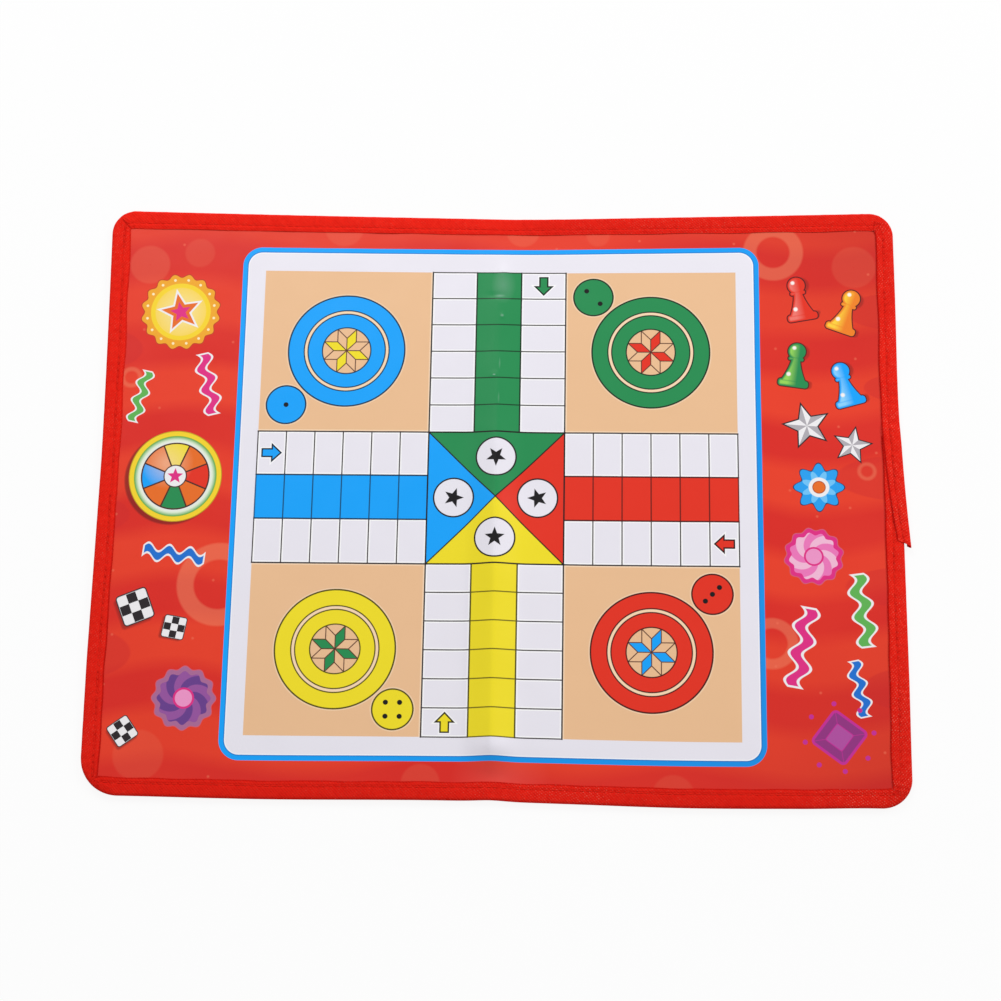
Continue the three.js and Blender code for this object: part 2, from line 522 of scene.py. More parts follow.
HOME_FROM_CENTRE = 24.9 * MM
HOME_STAR = 6.2 * MM
HOME_STAR_NOTCH = 0.42 * HOME_STAR
ARROW_FROM_END = 8.6 * MM
ARROW_LENGTH = 11.4 * MM
ARROW_HEAD = 5.4 * MM
ARROW_HEIGHT = 10.3 * MM
ARROW_SHAFT = 4.8 * MM
ARROW_OVERLAP = 1 * MM
PIP = 1.5 * MM
PIP_SPACING = 4.1 * MM

# Inks of the lines and of the pale edges that the print leaves round its shapes
DARK_LINE, NEAR_BLACK, GREY_LINE = ink(16, 14, 18), ink(8, 6, 8), ink(54, 46, 48)
STAR_LINE, YARD_PALE, RING_PALE = ink(84, 44, 34), ink(255, 230, 200), ink(248, 216, 180)
BRIGHT, FIELD_EDGE = ink(255, 255, 255), ink(248, 249, 252)
# The frame's inks, and the pale ink of the painted highlights along the fold
FRAME_FAR, FRAME_DARK, FOLD_GLINT_INK = ink(26, 128, 214), ink(24, 96, 170), ink(206, 228, 226)

# Shares of black in the lines that border a colour, and strengths of the pale edges
OUTLINE_BLACK, CROSSING_BLACK, ARROW_BLACK = 0.91, 0.82, 0.97
ARM_EDGE_PALE, DISC_EDGE_PALE, CELL_EDGE_PALE = 0.7, 0.5, 0.85


def halo(distance):
    """The pale edge that the print leaves just outside a shape."""
    return inside(distance - HALO / 2, HALO_SOFT)


def pinwheel(place, half):
    """Turns the field so that each quarter, an arm and the yard beside it, lies where the left one
    does, and gives the quarter's number.

    The four quarters are alike: outside the middle square, whose half side is given, the first is
    left of it and above its lower edge, and each next one is that turned by a right angle. Inside
    it the diagonals part them."""
    tree = place.tree
    x, y = parts(place)
    middle = less_than(larger(abs(x), abs(y)), half)
    green = more_than(y, half) * more_than(x, -half)
    red = more_than(x, half) * less_than(y, half)
    yellow = less_than(y, -half) * less_than(x, half)
    outside = green + red * 2 + yellow * 3
    upper = more_than(y, abs(x))
    lower = more_than(-y, abs(x))
    right = more_than(x, abs(y))
    within = upper + right * 2 + lower * 3
    quarter = mixed(tree, middle, outside, within, "FLOAT")
    turned = tree.nodes.new("ShaderNodeVectorRotate")
    turned.rotation_type = "Z_AXIS"
    feed(tree, place, turned.inputs["Vector"])
    feed(tree, quarter * (FULL_TURN / 4), turned.inputs["Angle"])
    return Field(tree, turned.outputs[0]), quarter


def print_field(layers, place, sizes, colours):
    """The four quarters of the field, drawn once in the left one's place and coloured by number."""
    half = LANES_IN_ARM * sizes.lane / 2
    reach = half + CELLS_IN_LANE * sizes.cell
    turned, quarter = pinwheel(place, half)
    player = choice(quarter, [colours.blue, colours.green, colours.red, colours.yellow])
    print_yard(layers, turned, quarter, player, half, reach, colours)
    print_arm(layers, turned, player, half, reach, sizes, colours)
    print_home(layers, turned, player, half, colours)


def print_yard(layers, turned, quarter, player, half, reach, colours):
    """A yard: tan square, disc with a pale ring and an eight-pointed star, and the start disc."""
    x, y = parts(turned)
    yard_half = (reach - half) / 2
    middle = half + yard_half
    yard = slab(x + middle, y - middle, yard_half, yard_half)
    layers.lay(inside(yard), colours.tan)
    beside_arms = smaller(y - half, -x - half)
    layers.lay(halo(beside_arms) * inside(yard) * ARM_EDGE_PALE, YARD_PALE)
    hub = vector(turned.tree, "SUBTRACT", turned, (-middle, middle, 0))
    from_hub, angle = polar(hub)
    layers.lay(halo(from_hub - YARD_DISC) * DISC_EDGE_PALE, YARD_PALE)
    layers.lay(inside(from_hub - YARD_DISC), player)
    band = abs(from_hub - YARD_RING) - YARD_RING_WIDTH / 2
    layers.lay(inside(band), RING_PALE)
    layers.lay(inside(from_hub - YARD_HUB), colours.tan)
    points = 8
    rhombi = star(hub, points, YARD_HUB, HUB_NOTCH, math.degrees(math.pi / points))
    in_pair = remainder(angle + 4 * FULL_TURN, 2 * FULL_TURN / points)
    hub_inks = [colours.yellow, colours.red, colours.blue, colours.green]
    layers.lay(inside(rhombi) * more_than(in_pair, FULL_TURN / points), choice(quarter, hub_inks))
    beside_spoke = from_hub * sine(folded_angle(angle, points))
    spokes = ruled(beside_spoke, FINE_LINE) * less_than(from_hub, HUB_NOTCH)
    rims = ruled(rhombi, FINE_LINE) * less_than(from_hub, YARD_HUB)
    layers.lay(larger(spokes, rims), STAR_LINE)
    outline = tinted_line(player)
    layers.lay(ruled(from_hub - YARD_DISC, OUTLINE), outline)
    layers.lay(ruled(smaller(abs(band), abs(from_hub - YARD_HUB)), LINE), outline)

    start_x, start_y = -(reach - START_FROM_END), half + START_FROM_ARM
    start = disc(turned, start_x, start_y, START_DISC)
    layers.lay(halo(start) * DISC_EDGE_PALE, YARD_PALE)
    layers.lay(inside(start), player)
    layers.lay(ruled(start, OUTLINE), outline)
    layers.lay(start_pips(turned, quarter, start_x, start_y), DARK_LINE)


def tinted_line(colour, black=OUTLINE_BLACK):
    """A dark line that takes a little of the colour it borders."""
    return mixed(colour.tree, black, colour, NEAR_BLACK)


def print_arm(layers, turned, player, half, reach, sizes, colours):
    """An arm: three lanes of six cells, the middle one coloured, and an arrow in the entry cell."""
    x, y = parts(turned)
    length = (reach - half) / 2
    from_middle = x + (half + length)
    arm = slab(from_middle, y, length, half)
    on_arm = inside(arm)
    across = back_and_forth(x + (half + (CELLS_IN_LANE + 2) * sizes.cell), sizes.cell / 2)
    beside = abs(abs(y) - sizes.lane / 2)
    next_arm = slab(x + half, y - half - length, 0, length)
    wider = (OUTLINE - LINE) / 2
    nearest_line = smaller(across, smaller(beside, abs(abs(y) - half)) - wider)
    layers.lay(on_arm, colours.white)
    layers.lay(halo(nearest_line) * on_arm * CELL_EDGE_PALE, BRIGHT)
    layers.lay(inside(slab(from_middle, y, length, sizes.lane / 2)), player)
    arrow_shape(layers, x + (reach - ARROW_FROM_END), y - sizes.lane, player)
    crossing = tinted_line(player, CROSSING_BLACK)
    within_lane = less_than(abs(y), (sizes.lane - OUTLINE) / 2)
    lane_line = mixed(x.tree, within_lane, tinted_line(player), crossing)
    on_lane = less_than(abs(y), (sizes.lane + OUTLINE) / 2)
    line = mixed(x.tree, on_lane, GREY_LINE, lane_line)
    layers.lay(inside(nearest_line - LINE / 2) * inside(arm - OUTLINE / 2), line)
    layers.lay(inside(next_arm - OUTLINE / 2), GREY_LINE)


def print_home(layers, turned, player, half, colours):
    """A quarter of the middle square: a triangle with a white disc and a star on it."""
    x, y = parts(turned)
    square = slab(x, y, half, half)
    within = inside(square)
    layers.lay(within, player)
    home = disc(turned, -HOME_FROM_CENTRE, 0, HOME_DISC)
    layers.lay(inside(home), colours.white)
    mark = star(local(turned, -HOME_FROM_CENTRE, 0), 5, HOME_STAR, HOME_STAR_NOTCH, 0)
    layers.lay(inside(mark), DARK_LINE)
    diagonal = (abs(x) - abs(y)) * math.sqrt(0.5)
    lines = larger(ruled(home, OUTLINE), ruled(diagonal, LINE) * within)
    layers.lay(larger(lines, ruled(square, OUTLINE)), colours.line)


def start_pips(turned, quarter, x, y):
    """One to four round pips in a start disc: a middle one for odd numbers, then one or two
    diagonals."""
    tree = turned.tree
    here = vector(tree, "SUBTRACT", turned, (x, y, 0))
    pip_x, pip_y = parts(here)
    corner = inside(disc(vector(tree, "ABSOLUTE", here), PIP_SPACING, PIP_SPACING, PIP))
    middle = inside(disc(here, 0, 0, PIP))
    odd = less_than(remainder(quarter, 2), 0.5)
    one_diagonal = more_than(quarter, 0.5) * more_than(pip_x * pip_y, 0)
    return larger(middle * odd, corner * larger(one_diagonal, more_than(quarter, 2.5)))


def arrow_shape(layers, x, y, colour):
    """An arrow towards the middle: a shaft's rectangle joined to a head's triangle."""
    neck = ARROW_LENGTH / 2 - ARROW_HEAD
    shaft_half = (neck + ARROW_LENGTH / 2 + ARROW_OVERLAP) / 2
    shaft = slab(x + ARROW_LENGTH / 2 - shaft_half, y, shaft_half, ARROW_SHAFT / 2)
    slope = ARROW_HEIGHT / 2 / ARROW_HEAD
    head = larger(-x + neck, (abs(y) + (x - ARROW_LENGTH / 2) * slope) / math.hypot(1, slope))
    arrow = smaller(shaft, head)
    layers.lay(halo(arrow) * CELL_EDGE_PALE, BRIGHT)
    layers.lay(inside(arrow), colour)
    layers.lay(ruled(arrow, OUTLINE), tinted_line(colour, ARROW_BLACK))


# Painted highlights along the fold's dents, small pale spots: middle and half sizes in millimetres,
# and strength
FOLD_GLINTS = (
    (2.6, 135, 5.5, 9, 0.16),
    (0.5, 128, 2.6, 0.8, 0.22),
    (2, 115, 0.9, 0.8, 0.32),
    (-2.2, 76.6, 0.8, 0.4, 0.5),
    (1, 84, 0.5, 3, 0.14),
    (0.8, 62, 0.5, 3, 0.12),
)


def print_fold_glints(layers, place):
    """Small pale spots painted along the fold where its dents catch the light: painted highlights.
    """
    for *size, strength in FOLD_GLINTS:
        layers.lay(inside(oval(place, *size) - 0.6, 0.8) * strength, FOLD_GLINT_INK)


def print_frame(layers, place, colours):
    """The blue line round the field, darker towards the right front, with a thin dark line and a
    thin bright one inside it, and the white field."""
    x, y = parts(place)
    edge = slab(x, y - x * FRAME_SKEW - FRAME_SHIFT, FRAME_HALF_X, FRAME_HALF_Y, FRAME_RADIUS)
    layers.lay(inside(edge), colours.blue)
    fade = clamped(x * FRAME_FADE_X + y * FRAME_FADE_Y, 1, FRAME_FADE_LEVEL)
    layers.lay(inside(edge) * fade, FRAME_FAR)
    layers.lay(ruled(edge + FRAME_LINE, FRAME_DARK_LINE) * 0.6, FRAME_DARK)
    layers.lay(inside(edge + FRAME_LINE + FRAME_BRIGHT_FROM), FIELD_EDGE)
    layers.lay(inside(edge + FRAME_LINE + FRAME_WHITE_FROM), colours.white)


# Darker tongues that run in from the sides: middle and half sizes in millimetres
TONGUES = (
    (242, 118, 34, 12),
    (242, 70, 24, 9),
    (240, 14, 40, 14),
    (240, -52, 36, 12),
    (242, -112, 30, 13),
    (-242, 92, 26, 13),
    (-240, -12, 22, 11),
    (-242, -96, 30, 15),
)

# Paler discs and rings in the red: middle, outer and inner radius in millimetres, and strength
BUBBLES = (
    (-214, 146, 12, 0, 0.2),
    (-184, 154, 9, 0, 0.14),
    (-162, -54, 25, 15, 0.5),
    (-222, 74, 6.5, 4, 0.42),
    (-204, -156, 15, 0, 0.13),
    (166, 156, 18, 10, 0.45),
    (214, 146, 13, 0, 0.13),
    (161, -86, 15, 9, 0.45),
    (218, 18, 5.5, 3.5, 0.4),
    (60, 168, 7, 0, 0.14),
    (14, 171, 10, 0, 0.2),
    (-96, 172, 12, 0, 0.15),
    (-40, -170, 11, 0, 0.14),
    (104, -174, 12, 0, 0.12),
)


# The front end of the crest, with a painted sheen where the film shines: middle and half sizes in
# millimetres
CREST_END = (6, -167, 20, 16)

# Inks of the ground, how far its waves turn in a metre, and how far apart its specks are
WAVE_LOW, WAVE_HIGH = ink(219, 40, 31), ink(233, 62, 36)
TONGUE_INK, REAR_INK = ink(208, 36, 36), ink(212, 36, 38)
# The corners' darker ink, and the ink of the painted sheen at the crest's front end
CORNER_INK, CREST_SHEEN_INK = ink(170, 30, 28), ink(255, 104, 92)
BUBBLE_INK, SPECK_INK = ink(250, 160, 120), ink(244, 120, 90)
WAVE_TURN, SWAY_TURN = 118, 42
SPECK_SPACING = 38 * MM


def print_ground(place, colours):
    """The red round the field: broad soft waves of two reds with darker tongues, darker still at
    the rear and in the corners, with a painted sheen at the front end of the crest, paler rings and
    discs, and a few specks."""
    tree = place.tree
    x, y = parts(place)
    sway = sine(x * SWAY_TURN) * 0.5 + (cloudy(place, 8, 2) - 0.5) * 1.8
    wave = sine(y * WAVE_TURN + sway)
    layers = Layers(tree, mixed(tree, clamped(wave, 0.9, 0.55), WAVE_LOW, WAVE_HIGH))
    layers.lay(clamped(cloudy(place, 14, 1), 1.8, -0.7) * 0.7, colours.ground)
    tongue = oval(place, *TONGUES[0])
    for size in TONGUES[1:]:
        tongue = smaller(tongue, oval(place, *size))
    layers.lay(inside(tongue - 1, 0.03) * 0.45, TONGUE_INK)
    layers.lay(clamped(y, 12, -1.6) * 0.35, REAR_INK)
    corner = clamped(abs(x * y), 28, -0.35)
    layers.lay(corner * (x + 0.28), CORNER_INK)
    # Painted sheen at the front end of the crest
    layers.lay(inside(oval(place, *CREST_END) - 0.55, 0.9) * 0.45, CREST_SHEEN_INK)
    for at_x, at_y, outer, inner, strength in BUBBLES:
        middle, half = (outer + inner) / 2 * MM, (outer - inner) / 2 * MM
        away = from_spot(place, at_x * MM, at_y * MM)
        layers.lay(inside(abs(away - middle) - half, 0.7 * MM) * (strength * 0.55), BUBBLE_INK)
    speck = tree.nodes.new("ShaderNodeTexVoronoi")
    speck.voronoi_dimensions = "2D"
    speck.inputs["Scale"].default_value = 1 / SPECK_SPACING
    feed(tree, place, speck.inputs["Vector"])
    near = Field(tree, speck.outputs["Distance"])
    layers.lay(inside(near - 0.02, 0.008) * 0.4, SPECK_INK)
    return layers


# Motifs in the margins: middle in millimetres, turn in degrees, size as a share of the drawn one
BADGE = (-194, 116, 12, 1)
WHEEL = (-192, 12, 0, 1)
SWIRLS = ((-179, -122, 0, 1.1), (186, -34, 40, 1))
PAWNS = ((181, 126, 10, 1.12), (209, 118, -20, 1.12), (178, 84, -8, 1.12), (207, 72, 16, 1.12))
CHECKS = ((-211, -68, 22, 1.2), (-187, -80, -10, 0.85), (-214, -142, 36, 0.9))
SHADED_STARS = ((184, 46, 14, 1.05), (210, 34, -12, 0.85))
ROSETTE = (190, 8, 0, 1)
LOZENGE = (198, -140, 8, 1)
RIBBONS = (
    (-175, 70, 14, 0.95),
    (-216, 62, -12, 0.8),
    (-190, -36, 84, 0.9),
    (178, -88, -10, 1.15),
    (213, -66, 8, 1.05),
    (210, -112, 12, 0.8),
)
PINK, GRASS, SEA = ink(224, 44, 132), ink(96, 178, 84), ink(28, 112, 208)
VIOLET, LILAC, MAGENTA = ink(104, 62, 140), ink(170, 106, 150), ink(196, 44, 150)
GOLD, LEMON, AMBER = ink(240, 168, 40), ink(246, 212, 44), ink(232, 110, 34)
CREAM, PAPER = ink(246, 226, 160), ink(240, 238, 240)
SOOT, WHEEL_LINE_INK = ink(40, 34, 38), ink(70, 40, 34)

# Sizes that more than one line of a motif uses
RIBBON_WAVE = 14 * MM
WHEEL_RIM = 28 * MM
WHEEL_FACE = 20.4 * MM
WHEEL_LINE = 0.9 * MM
SWIRL_RADIUS = 17 * MM
SWIRL_BORDER = 2.6 * MM
CHECK_PITCH = 4.9 * MM
PAWN_HEAD = 4.6 * MM
PAWN_BASE = 8 * MM


def print_margins(layers, place, colours):
    """Plain figures of play in the two margins."""
    print_ribbons(layers, place)
    print_badge(layers, place)
    print_wheel(layers, place, colours)
    print_swirls(layers, place)
    print_checks(layers, place)
    print_stars(layers, place)
    print_rosette(layers, place)
    print_pawns(layers, place, colours)
    print_lozenge(layers, place)


def print_ribbons(layers, place):
    """Wavy ribbons: within a given length, the distance from a sine line."""
    seen, number = nearest(place, RIBBONS)
    x, y = parts(seen)
    centre = sine(y * (FULL_TURN / RIBBON_WAVE)) * (2.6 * MM)
    ribbon = larger(abs(x - centre) * 0.72 - 1.9 * MM, abs(y) - 20 * MM)
    layers.stamp(ribbon, choice(remainder(number, 3), [PINK, GRASS, SEA]), PAPER, 1 * MM)


def print_badge(layers, place):
    """A scalloped badge with a ring of dots and a star."""
    seen = motif(place, *BADGE)
    reach, angle = polar(seen)
    layers.stamp(flower(seen, 16, 24 * MM, 0.045), GOLD, ink(196, 60, 30), 0.7 * MM)
    layers.lay(inside(reach - 18.2 * MM), LEMON)
    middle = mixed(place.tree, clamped(reach / (15 * MM)), CREAM, ink(248, 214, 96))
    layers.lay(inside(reach - 15.4 * MM), middle)
    layers.lay(inside(beads(reach, angle, 16, 20.6 * MM, 0.8 * MM)), ink(252, 236, 190))
    layers.stamp(star(seen, 5, 12 * MM, 5.2 * MM), AMBER, PAPER, 1.1 * MM)
    layers.lay(inside(star(seen, 5, 6.6 * MM, 2.9 * MM)), PINK)


def print_wheel(layers, place, colours):
    """A wheel of eight sectors with a striped rim, over its own shadow."""
    shadow = disc(place, (WHEEL[0] - 2.2) * MM, (WHEEL[1] - 1.6) * MM, 28.4 * MM)
    layers.lay(inside(shadow, 0.6 * MM) * 0.7, ink(96, 22, 20))
    seen = motif(place, *WHEEL)
    sectors = 8
    reach, angle = polar(seen, 180 / sectors)
    stops = [(0, PAPER), (0.735, PAPER), (0.80, ink(224, 238, 214)), (0.885, ink(84, 168, 64))]
    layers.lay(inside(reach - WHEEL_RIM), ramp_of(reach / WHEEL_RIM, [*stops, (0.9, LEMON)]))
    layers.lay(ruled(reach - WHEEL_RIM, 0.5 * MM), ink(190, 150, 30))
    turn = remainder(angle / (FULL_TURN / sectors) + sectors, sectors)
    inks = [colours.red, AMBER, colours.yellow, AMBER, colours.blue, AMBER, colours.green, AMBER]
    face = reach - WHEEL_FACE
    layers.lay(inside(face), choice(calc(place.tree, "FLOOR", turn), inks))
    gleam = disc(seen, -5 * MM, 8 * MM, 9 * MM)
    layers.lay(inside(gleam, 7 * MM) * inside(face) * 0.45, ink(252, 214, 180))
    spokes = ruled(reach * sine(folded_angle(angle, sectors)), WHEEL_LINE) * inside(face)
    layers.lay(larger(spokes, ruled(face, WHEEL_LINE)), WHEEL_LINE_INK)
    layers.stamp(reach - 6.4 * MM, PAPER, WHEEL_LINE_INK, 0.7 * MM)
    layers.lay(inside(star(seen, 5, 5 * MM, 2.2 * MM)), PINK)


def print_swirls(layers, place):
    """Swirled discs: arms of a spiral, whose angle runs with the distance from the middle."""
    seen, number = nearest(place, SWIRLS)
    reach, angle = polar(seen)
    edge = flower(seen, 12, SWIRL_RADIUS, 0.05)
    violet = less_than(number, 0.5)
    rim = mixed(place.tree, violet, PINK, LILAC)
    layers.stamp(edge, rim, ink(206, 96, 120), 0.5 * MM)
    stripe = sine(angle * 5 + reach * (9 / SWIRL_RADIUS))
    arms = clamped(stripe, 4, 0.5) * inside(edge + SWIRL_BORDER)
    layers.lay(inside(edge + SWIRL_BORDER), mixed(place.tree, violet, ink(236, 120, 186), VIOLET))
    layers.lay(arms, mixed(place.tree, violet, ink(242, 186, 214), ink(150, 84, 158)))
    layers.stamp(reach - 4.6 * MM, ink(238, 150, 200), PINK, 1.1 * MM)


def print_checks(layers, place):
    """Small squares of black and white checks, over their shadows."""
    seen, _ = nearest(place, CHECKS)
    x, y = parts(seen)
    shadow = slab(x + 1.6 * MM, y + 1.3 * MM, 7.8 * MM, 7.8 * MM, 1.6 * MM)
    layers.lay(inside(shadow, 0.6 * MM) * 0.55, ink(110, 26, 22))
    layers.stamp(slab(x, y, 7.5 * MM, 7.5 * MM, 1.4 * MM), PAPER, SOOT, 0.6 * MM)
    half, turn = CHECK_PITCH / 2, math.pi / CHECK_PITCH
    checks = sine((x + half) * turn) * sine((y + half) * turn)
    layers.lay(inside(slab(x, y, 7.35 * MM, 7.35 * MM, 1 * MM)) * less_than(checks, 0), SOOT)


def print_stars(layers, place):
    """White stars with one half of each point in shade."""
    seen, _ = nearest(place, SHADED_STARS)
    reach, angle = polar(seen, -90)
    shape = star(seen, 5, 12.5 * MM, 5.6 * MM)
    layers.stamp(shape, PAPER, SOOT, 0.8 * MM)
    in_point = remainder(angle + 5 * FULL_TURN, FULL_TURN / 5)
    layers.lay(inside(shape) * less_than(in_point, FULL_TURN / 10), ink(176, 172, 178))


def print_rosette(layers, place):
    """A blue rosette with lighter petals, a white ring and an orange middle."""
    seen = motif(place, *ROSETTE)
    reach, _ = polar(seen)
    layers.stamp(flower(seen, 8, 14.5 * MM, 0.14), ink(36, 160, 240), ink(40, 52, 84), 0.7 * MM)
    layers.lay(inside(flower(seen, 8, 10.2 * MM, 0.2, 22.5)), ink(112, 196, 248))
    layers.lay(inside(reach - 6 * MM), PAPER)
    layers.stamp(reach - 3.4 * MM, AMBER, ink(176, 70, 24), 0.5 * MM)


def print_pawns(layers, place, colours):
    """Four pawns, each a round head, a collar, a body that widens downwards and a base joined."""
    seen, number = nearest(place, PAWNS)
    x, y = parts(seen)
    tree = place.tree
    shadow_x, shadow_y = x - 2 * MM, y + 0.6 * MM
    share = calc(tree, "POWER", clamped(y, -1 / (15 * MM), 1 / 3), 1.7)
    body = larger(abs(x) - share * (5 * MM) - 2.1 * MM, abs(y + 2.5 * MM) - 7.5 * MM)
    head = disc(seen, 0, 7.8 * MM, PAWN_HEAD)
    base = slab(x, y + 10.3 * MM, PAWN_BASE, 2 * MM, 1.6 * MM)
    collar = slab(x, y - 3.5 * MM, 4 * MM, 0.95 * MM, 0.8 * MM)
    pawn = smaller(smaller(body, head), smaller(base, collar))
    low_shadow = slab(shadow_x, shadow_y + 9.6 * MM, PAWN_BASE, 2.2 * MM, 1.6 * MM)
    dark_side = smaller(disc(seen, 2.2 * MM, 7.4 * MM, PAWN_HEAD), low_shadow)
    layers.lay(inside(dark_side, 0.5 * MM) * 0.5, ink(120, 26, 22))
    inks = [colours.red, ink(240, 130, 34), colours.green, colours.blue]
    lights = [ink(240, 120, 110), ink(252, 208, 60), ink(150, 214, 90), ink(140, 210, 252)]
    layers.stamp(pawn, choice(number, inks), ink(74, 20, 24), 0.6 * MM)
    lit = inside(pawn + 0.9 * MM, 0.5 * MM) * clamped(x, -1 / (5 * MM), 0.35)
    layers.lay(lit, choice(number, lights))
    high_glint = disc(seen, -1.6 * MM, 9.6 * MM, 1 * MM)
    low_glint = disc(seen, -2.9 * MM, -5.4 * MM, 1.1 * MM)
    layers.lay(inside(smaller(high_glint, low_glint), 0.35 * MM), ink(250, 244, 240))


def print_lozenge(layers, place):
    """A cut stone: a square on its corner, with lighter facet lines and small beads round it."""
    seen = motif(place, *LOZENGE)
    diagonal = local(seen, 0, 0, 45)
    x, y = parts(diagonal)
    stone = slab(x, y, 10.5 * MM, 10.5 * MM, 1.6 * MM)
    layers.stamp(stone, ink(146, 50, 128), MAGENTA, 1.5 * MM)
    table = slab(x, y, 5.4 * MM, 5.4 * MM, 0.6 * MM)
    facets = ruled(abs(x) - abs(y), 0.6 * MM) * inside(stone)
    layers.lay(facets * 0.7, MAGENTA)
    layers.stamp(table, ink(176, 78, 160), MAGENTA, 0.5 * MM)
    layers.lay(inside(beads(*polar(seen), 8, 19.5 * MM, 1.4 * MM)), MAGENTA)


def film_material(sizes, colours):
    """Printed cloth under a satin film."""
    material, tree, shader = new_material("printed_film", 0.36, Specular_IOR_Level=0.25)
    place = named_place(tree, "print_place")
    layers = print_ground(place, colours)
    print_margins(layers, place, colours)
    print_frame(layers, place, colours)
    print_field(layers, place, sizes, colours)
    # Painted highlights along the fold's dents
    print_fold_glints(layers, place)
    weave = cloudy(place, 1400, 3) * 0.12 + cloudy(place, 120, 2) * 0.4
    waves = cloudy(place, 22, 2)
    finish_surface(shader, layers.colour, weave * 0.1 + waves, 0.7 * MM, 0.8)
    return material


# The nonwoven's pressed points: how far apart along and across the tape, and how much they slant
POINT_ROW, ROW_SLANT = 1.8 * MM, 0.95
POINT_COLUMN, COLUMN_SLANT = 1.5 * MM, -0.45


def nonwoven(tree, place, colour, gleam=0.4):
    """Spun cloth pressed together at small points in slanted rows, with fine loose fibres: its
    colour and its height. Its furrows get a painted shade, and its pressed points and fibres
    painted highlights, all stronger where the gleam is higher."""
    along, across = parts(place)
    row = cosine((along + across * ROW_SLANT) * (FULL_TURN / POINT_ROW))
    column = cosine((across + along * COLUMN_SLANT) * (FULL_TURN / POINT_COLUMN))
    fibres = cloudy(place, 2400, 3, 0.65)
    tufts = cloudy(place, 420, 2)
    patches = clamped(cloudy(place, 34, 1), 4, -1.5)
    caught = clamped(cloudy(place, 900, 2), 7, -3.1)
    points = clamped((row + column) * 1.2 - 0.9 + (tufts - 0.5) * 4) * caught
    furrow = clamped((0.45 - tufts) * 3 - row * 0.8)
    deep = tuple(c * share for c, share in zip(colour, (0.74, 0.25, 0.3), strict=True))
    light = ink(255, 122, 102)
    layers = Layers(tree, colour)
    layers.lay(clamped(tufts, -1.8, 1.1) * 0.22, deep)
    layers.lay(clamped(cloudy(place, 170, 2), 3, -1.3) * 0.22, deep)
    # Painted shade in the furrows between the pressed points
    layers.lay(furrow * (0.25 + gleam * 0.6), deep)
    # Painted highlights on the loose fibres and the pressed points
    layers.lay(clamped(fibres, 2, -1.1) * (0.1 + gleam * 0.6), light)
    layers.lay(points * (patches * 0.9 + 0.5) * gleam, light)
    return layers, points * 0.5 - furrow * 0.3 + fibres * 0.35


def backing_material(colour):
    """The backing's cloth, by place on the sheet."""
    material, tree, shader = new_material("backing_cloth", 0.8, Specular_IOR_Level=0.2)
    layers, height = nonwoven(tree, object_place(tree), colour)
    finish_surface(shader, layers.colour, height, 0.16 * MM)
    return material


HOLE_HALF_LENGTH, HOLE_HALF_WIDTH = 1.5 * MM, 0.55 * MM


def tape_material(sizes, colour):
    """The tape's cloth, by place along and across it, with painted shade along the stitching row
    and in its holes, where the needle drew it down, in the gap under the cut edge, in the creases
    and on the darker sides, and painted highlights on its pressed points."""
    material, tree, shader = new_material("binding_cloth", 0.8, Specular_IOR_Level=0.04)
    place = named_place(tree, "tape_place")
    shade, shown, gleam = parts(named_place(tree, "tape_painted_light"), 3)
    layers, height = nonwoven(tree, place, colour, gleam)
    # Painted shade: in the creases, in the gap under the cut edge, and on the darker sides
    layers.lay(clamped(shade), ink(158, 3, 3))
    along, away = parts(named_place(tree, "tape_seam"))
    seen = shown * clamped(cloudy(place, 70, 1), 5, -1.9)
    from_hole = back_and_forth(along, sizes.stitch_pitch / 2)
    hole = hypotenuse(from_hole / HOLE_HALF_LENGTH, away / HOLE_HALF_WIDTH)
    # Painted shade along the stitching row and in its needle holes
    layers.lay(ruled(away, 1.3 * MM, 0.6 * MM) * (seen * 0.35 + 0.03), ink(180, 6, 5))
    layers.lay(inside(hole - 1, 0.45) * seen * 0.75, ink(150, 2, 2))
    finish_surface(shader, layers.colour, height, 0.24 * MM)
    return material


TWIST_PITCH = 0.5 * MM


def thread_material(colour):
    """Twisted thread: slanted ridges round and along it, with painted shade in the grooves between
    them.
    """
    material, tree, shader = new_material("sewing_thread", 0.7, Specular_IOR_Level=0.08)
    x, y = parts(named_place(tree, "thread_place"))
    twist = clamped(sine(x * (FULL_TURN / TWIST_PITCH) + y * FULL_TURN), 0.5, 0.5)
    # Painted shade in the twist's grooves
    colour = mixed(tree, twist, tuple(c * 0.86 for c in colour), colour)
    finish_surface(shader, colour, twist, 0.08 * MM)
    return material


def board_material():
    """Grey board, with its flecks of pulp."""
    material, tree, shader = new_material("grey_board", 0.9)
    place = object_place(tree)
    flecks = cloudy(place, 900, 3)
    colour = mixed(tree, flecks, ink(134, 126, 112), ink(176, 168, 152))
    finish_surface(shader, colour, flecks, 0.1 * MM, 0.5)
    return material


# Meshes


def faces_outwards(points, faces):
    """Turns quads round if together they enclose a negative volume."""
    corner = points[faces]
    first = np.einsum("ij,ij->i", corner[:, 0], np.cross(corner[:, 1], corner[:, 2]))
    second = np.einsum("ij,ij->i", corner[:, 0], np.cross(corner[:, 2], corner[:, 3]))
    return faces if first.sum() + second.sum() > 0 else faces[:, ::-1]


SHARP_FROM = math.radians(50)


def new_piece(name, points, faces, material, slot, caps=(), **places):
    """A smooth mesh object at the origin, with its place in its mesh and vectors at its points."""
    mesh = bpy.data.meshes.new(name)
    mesh.from_pydata(points.tolist(), [], [*faces.tolist(), *[cap.tolist() for cap in caps]])
    mesh.shade_smooth()
    mesh.set_sharp_from_angle(angle=SHARP_FROM)
    mesh.materials.append(material)
    for place_name, place in places.items():
        attribute = mesh.attributes.new(place_name, "FLOAT_VECTOR", "POINT")
        attribute.data.foreach_set("vector", place.astype(np.float32).ravel())
    piece = bpy.data.objects.new(name, mesh)
    bpy.context.scene.collection.objects.link(piece)
    return piece


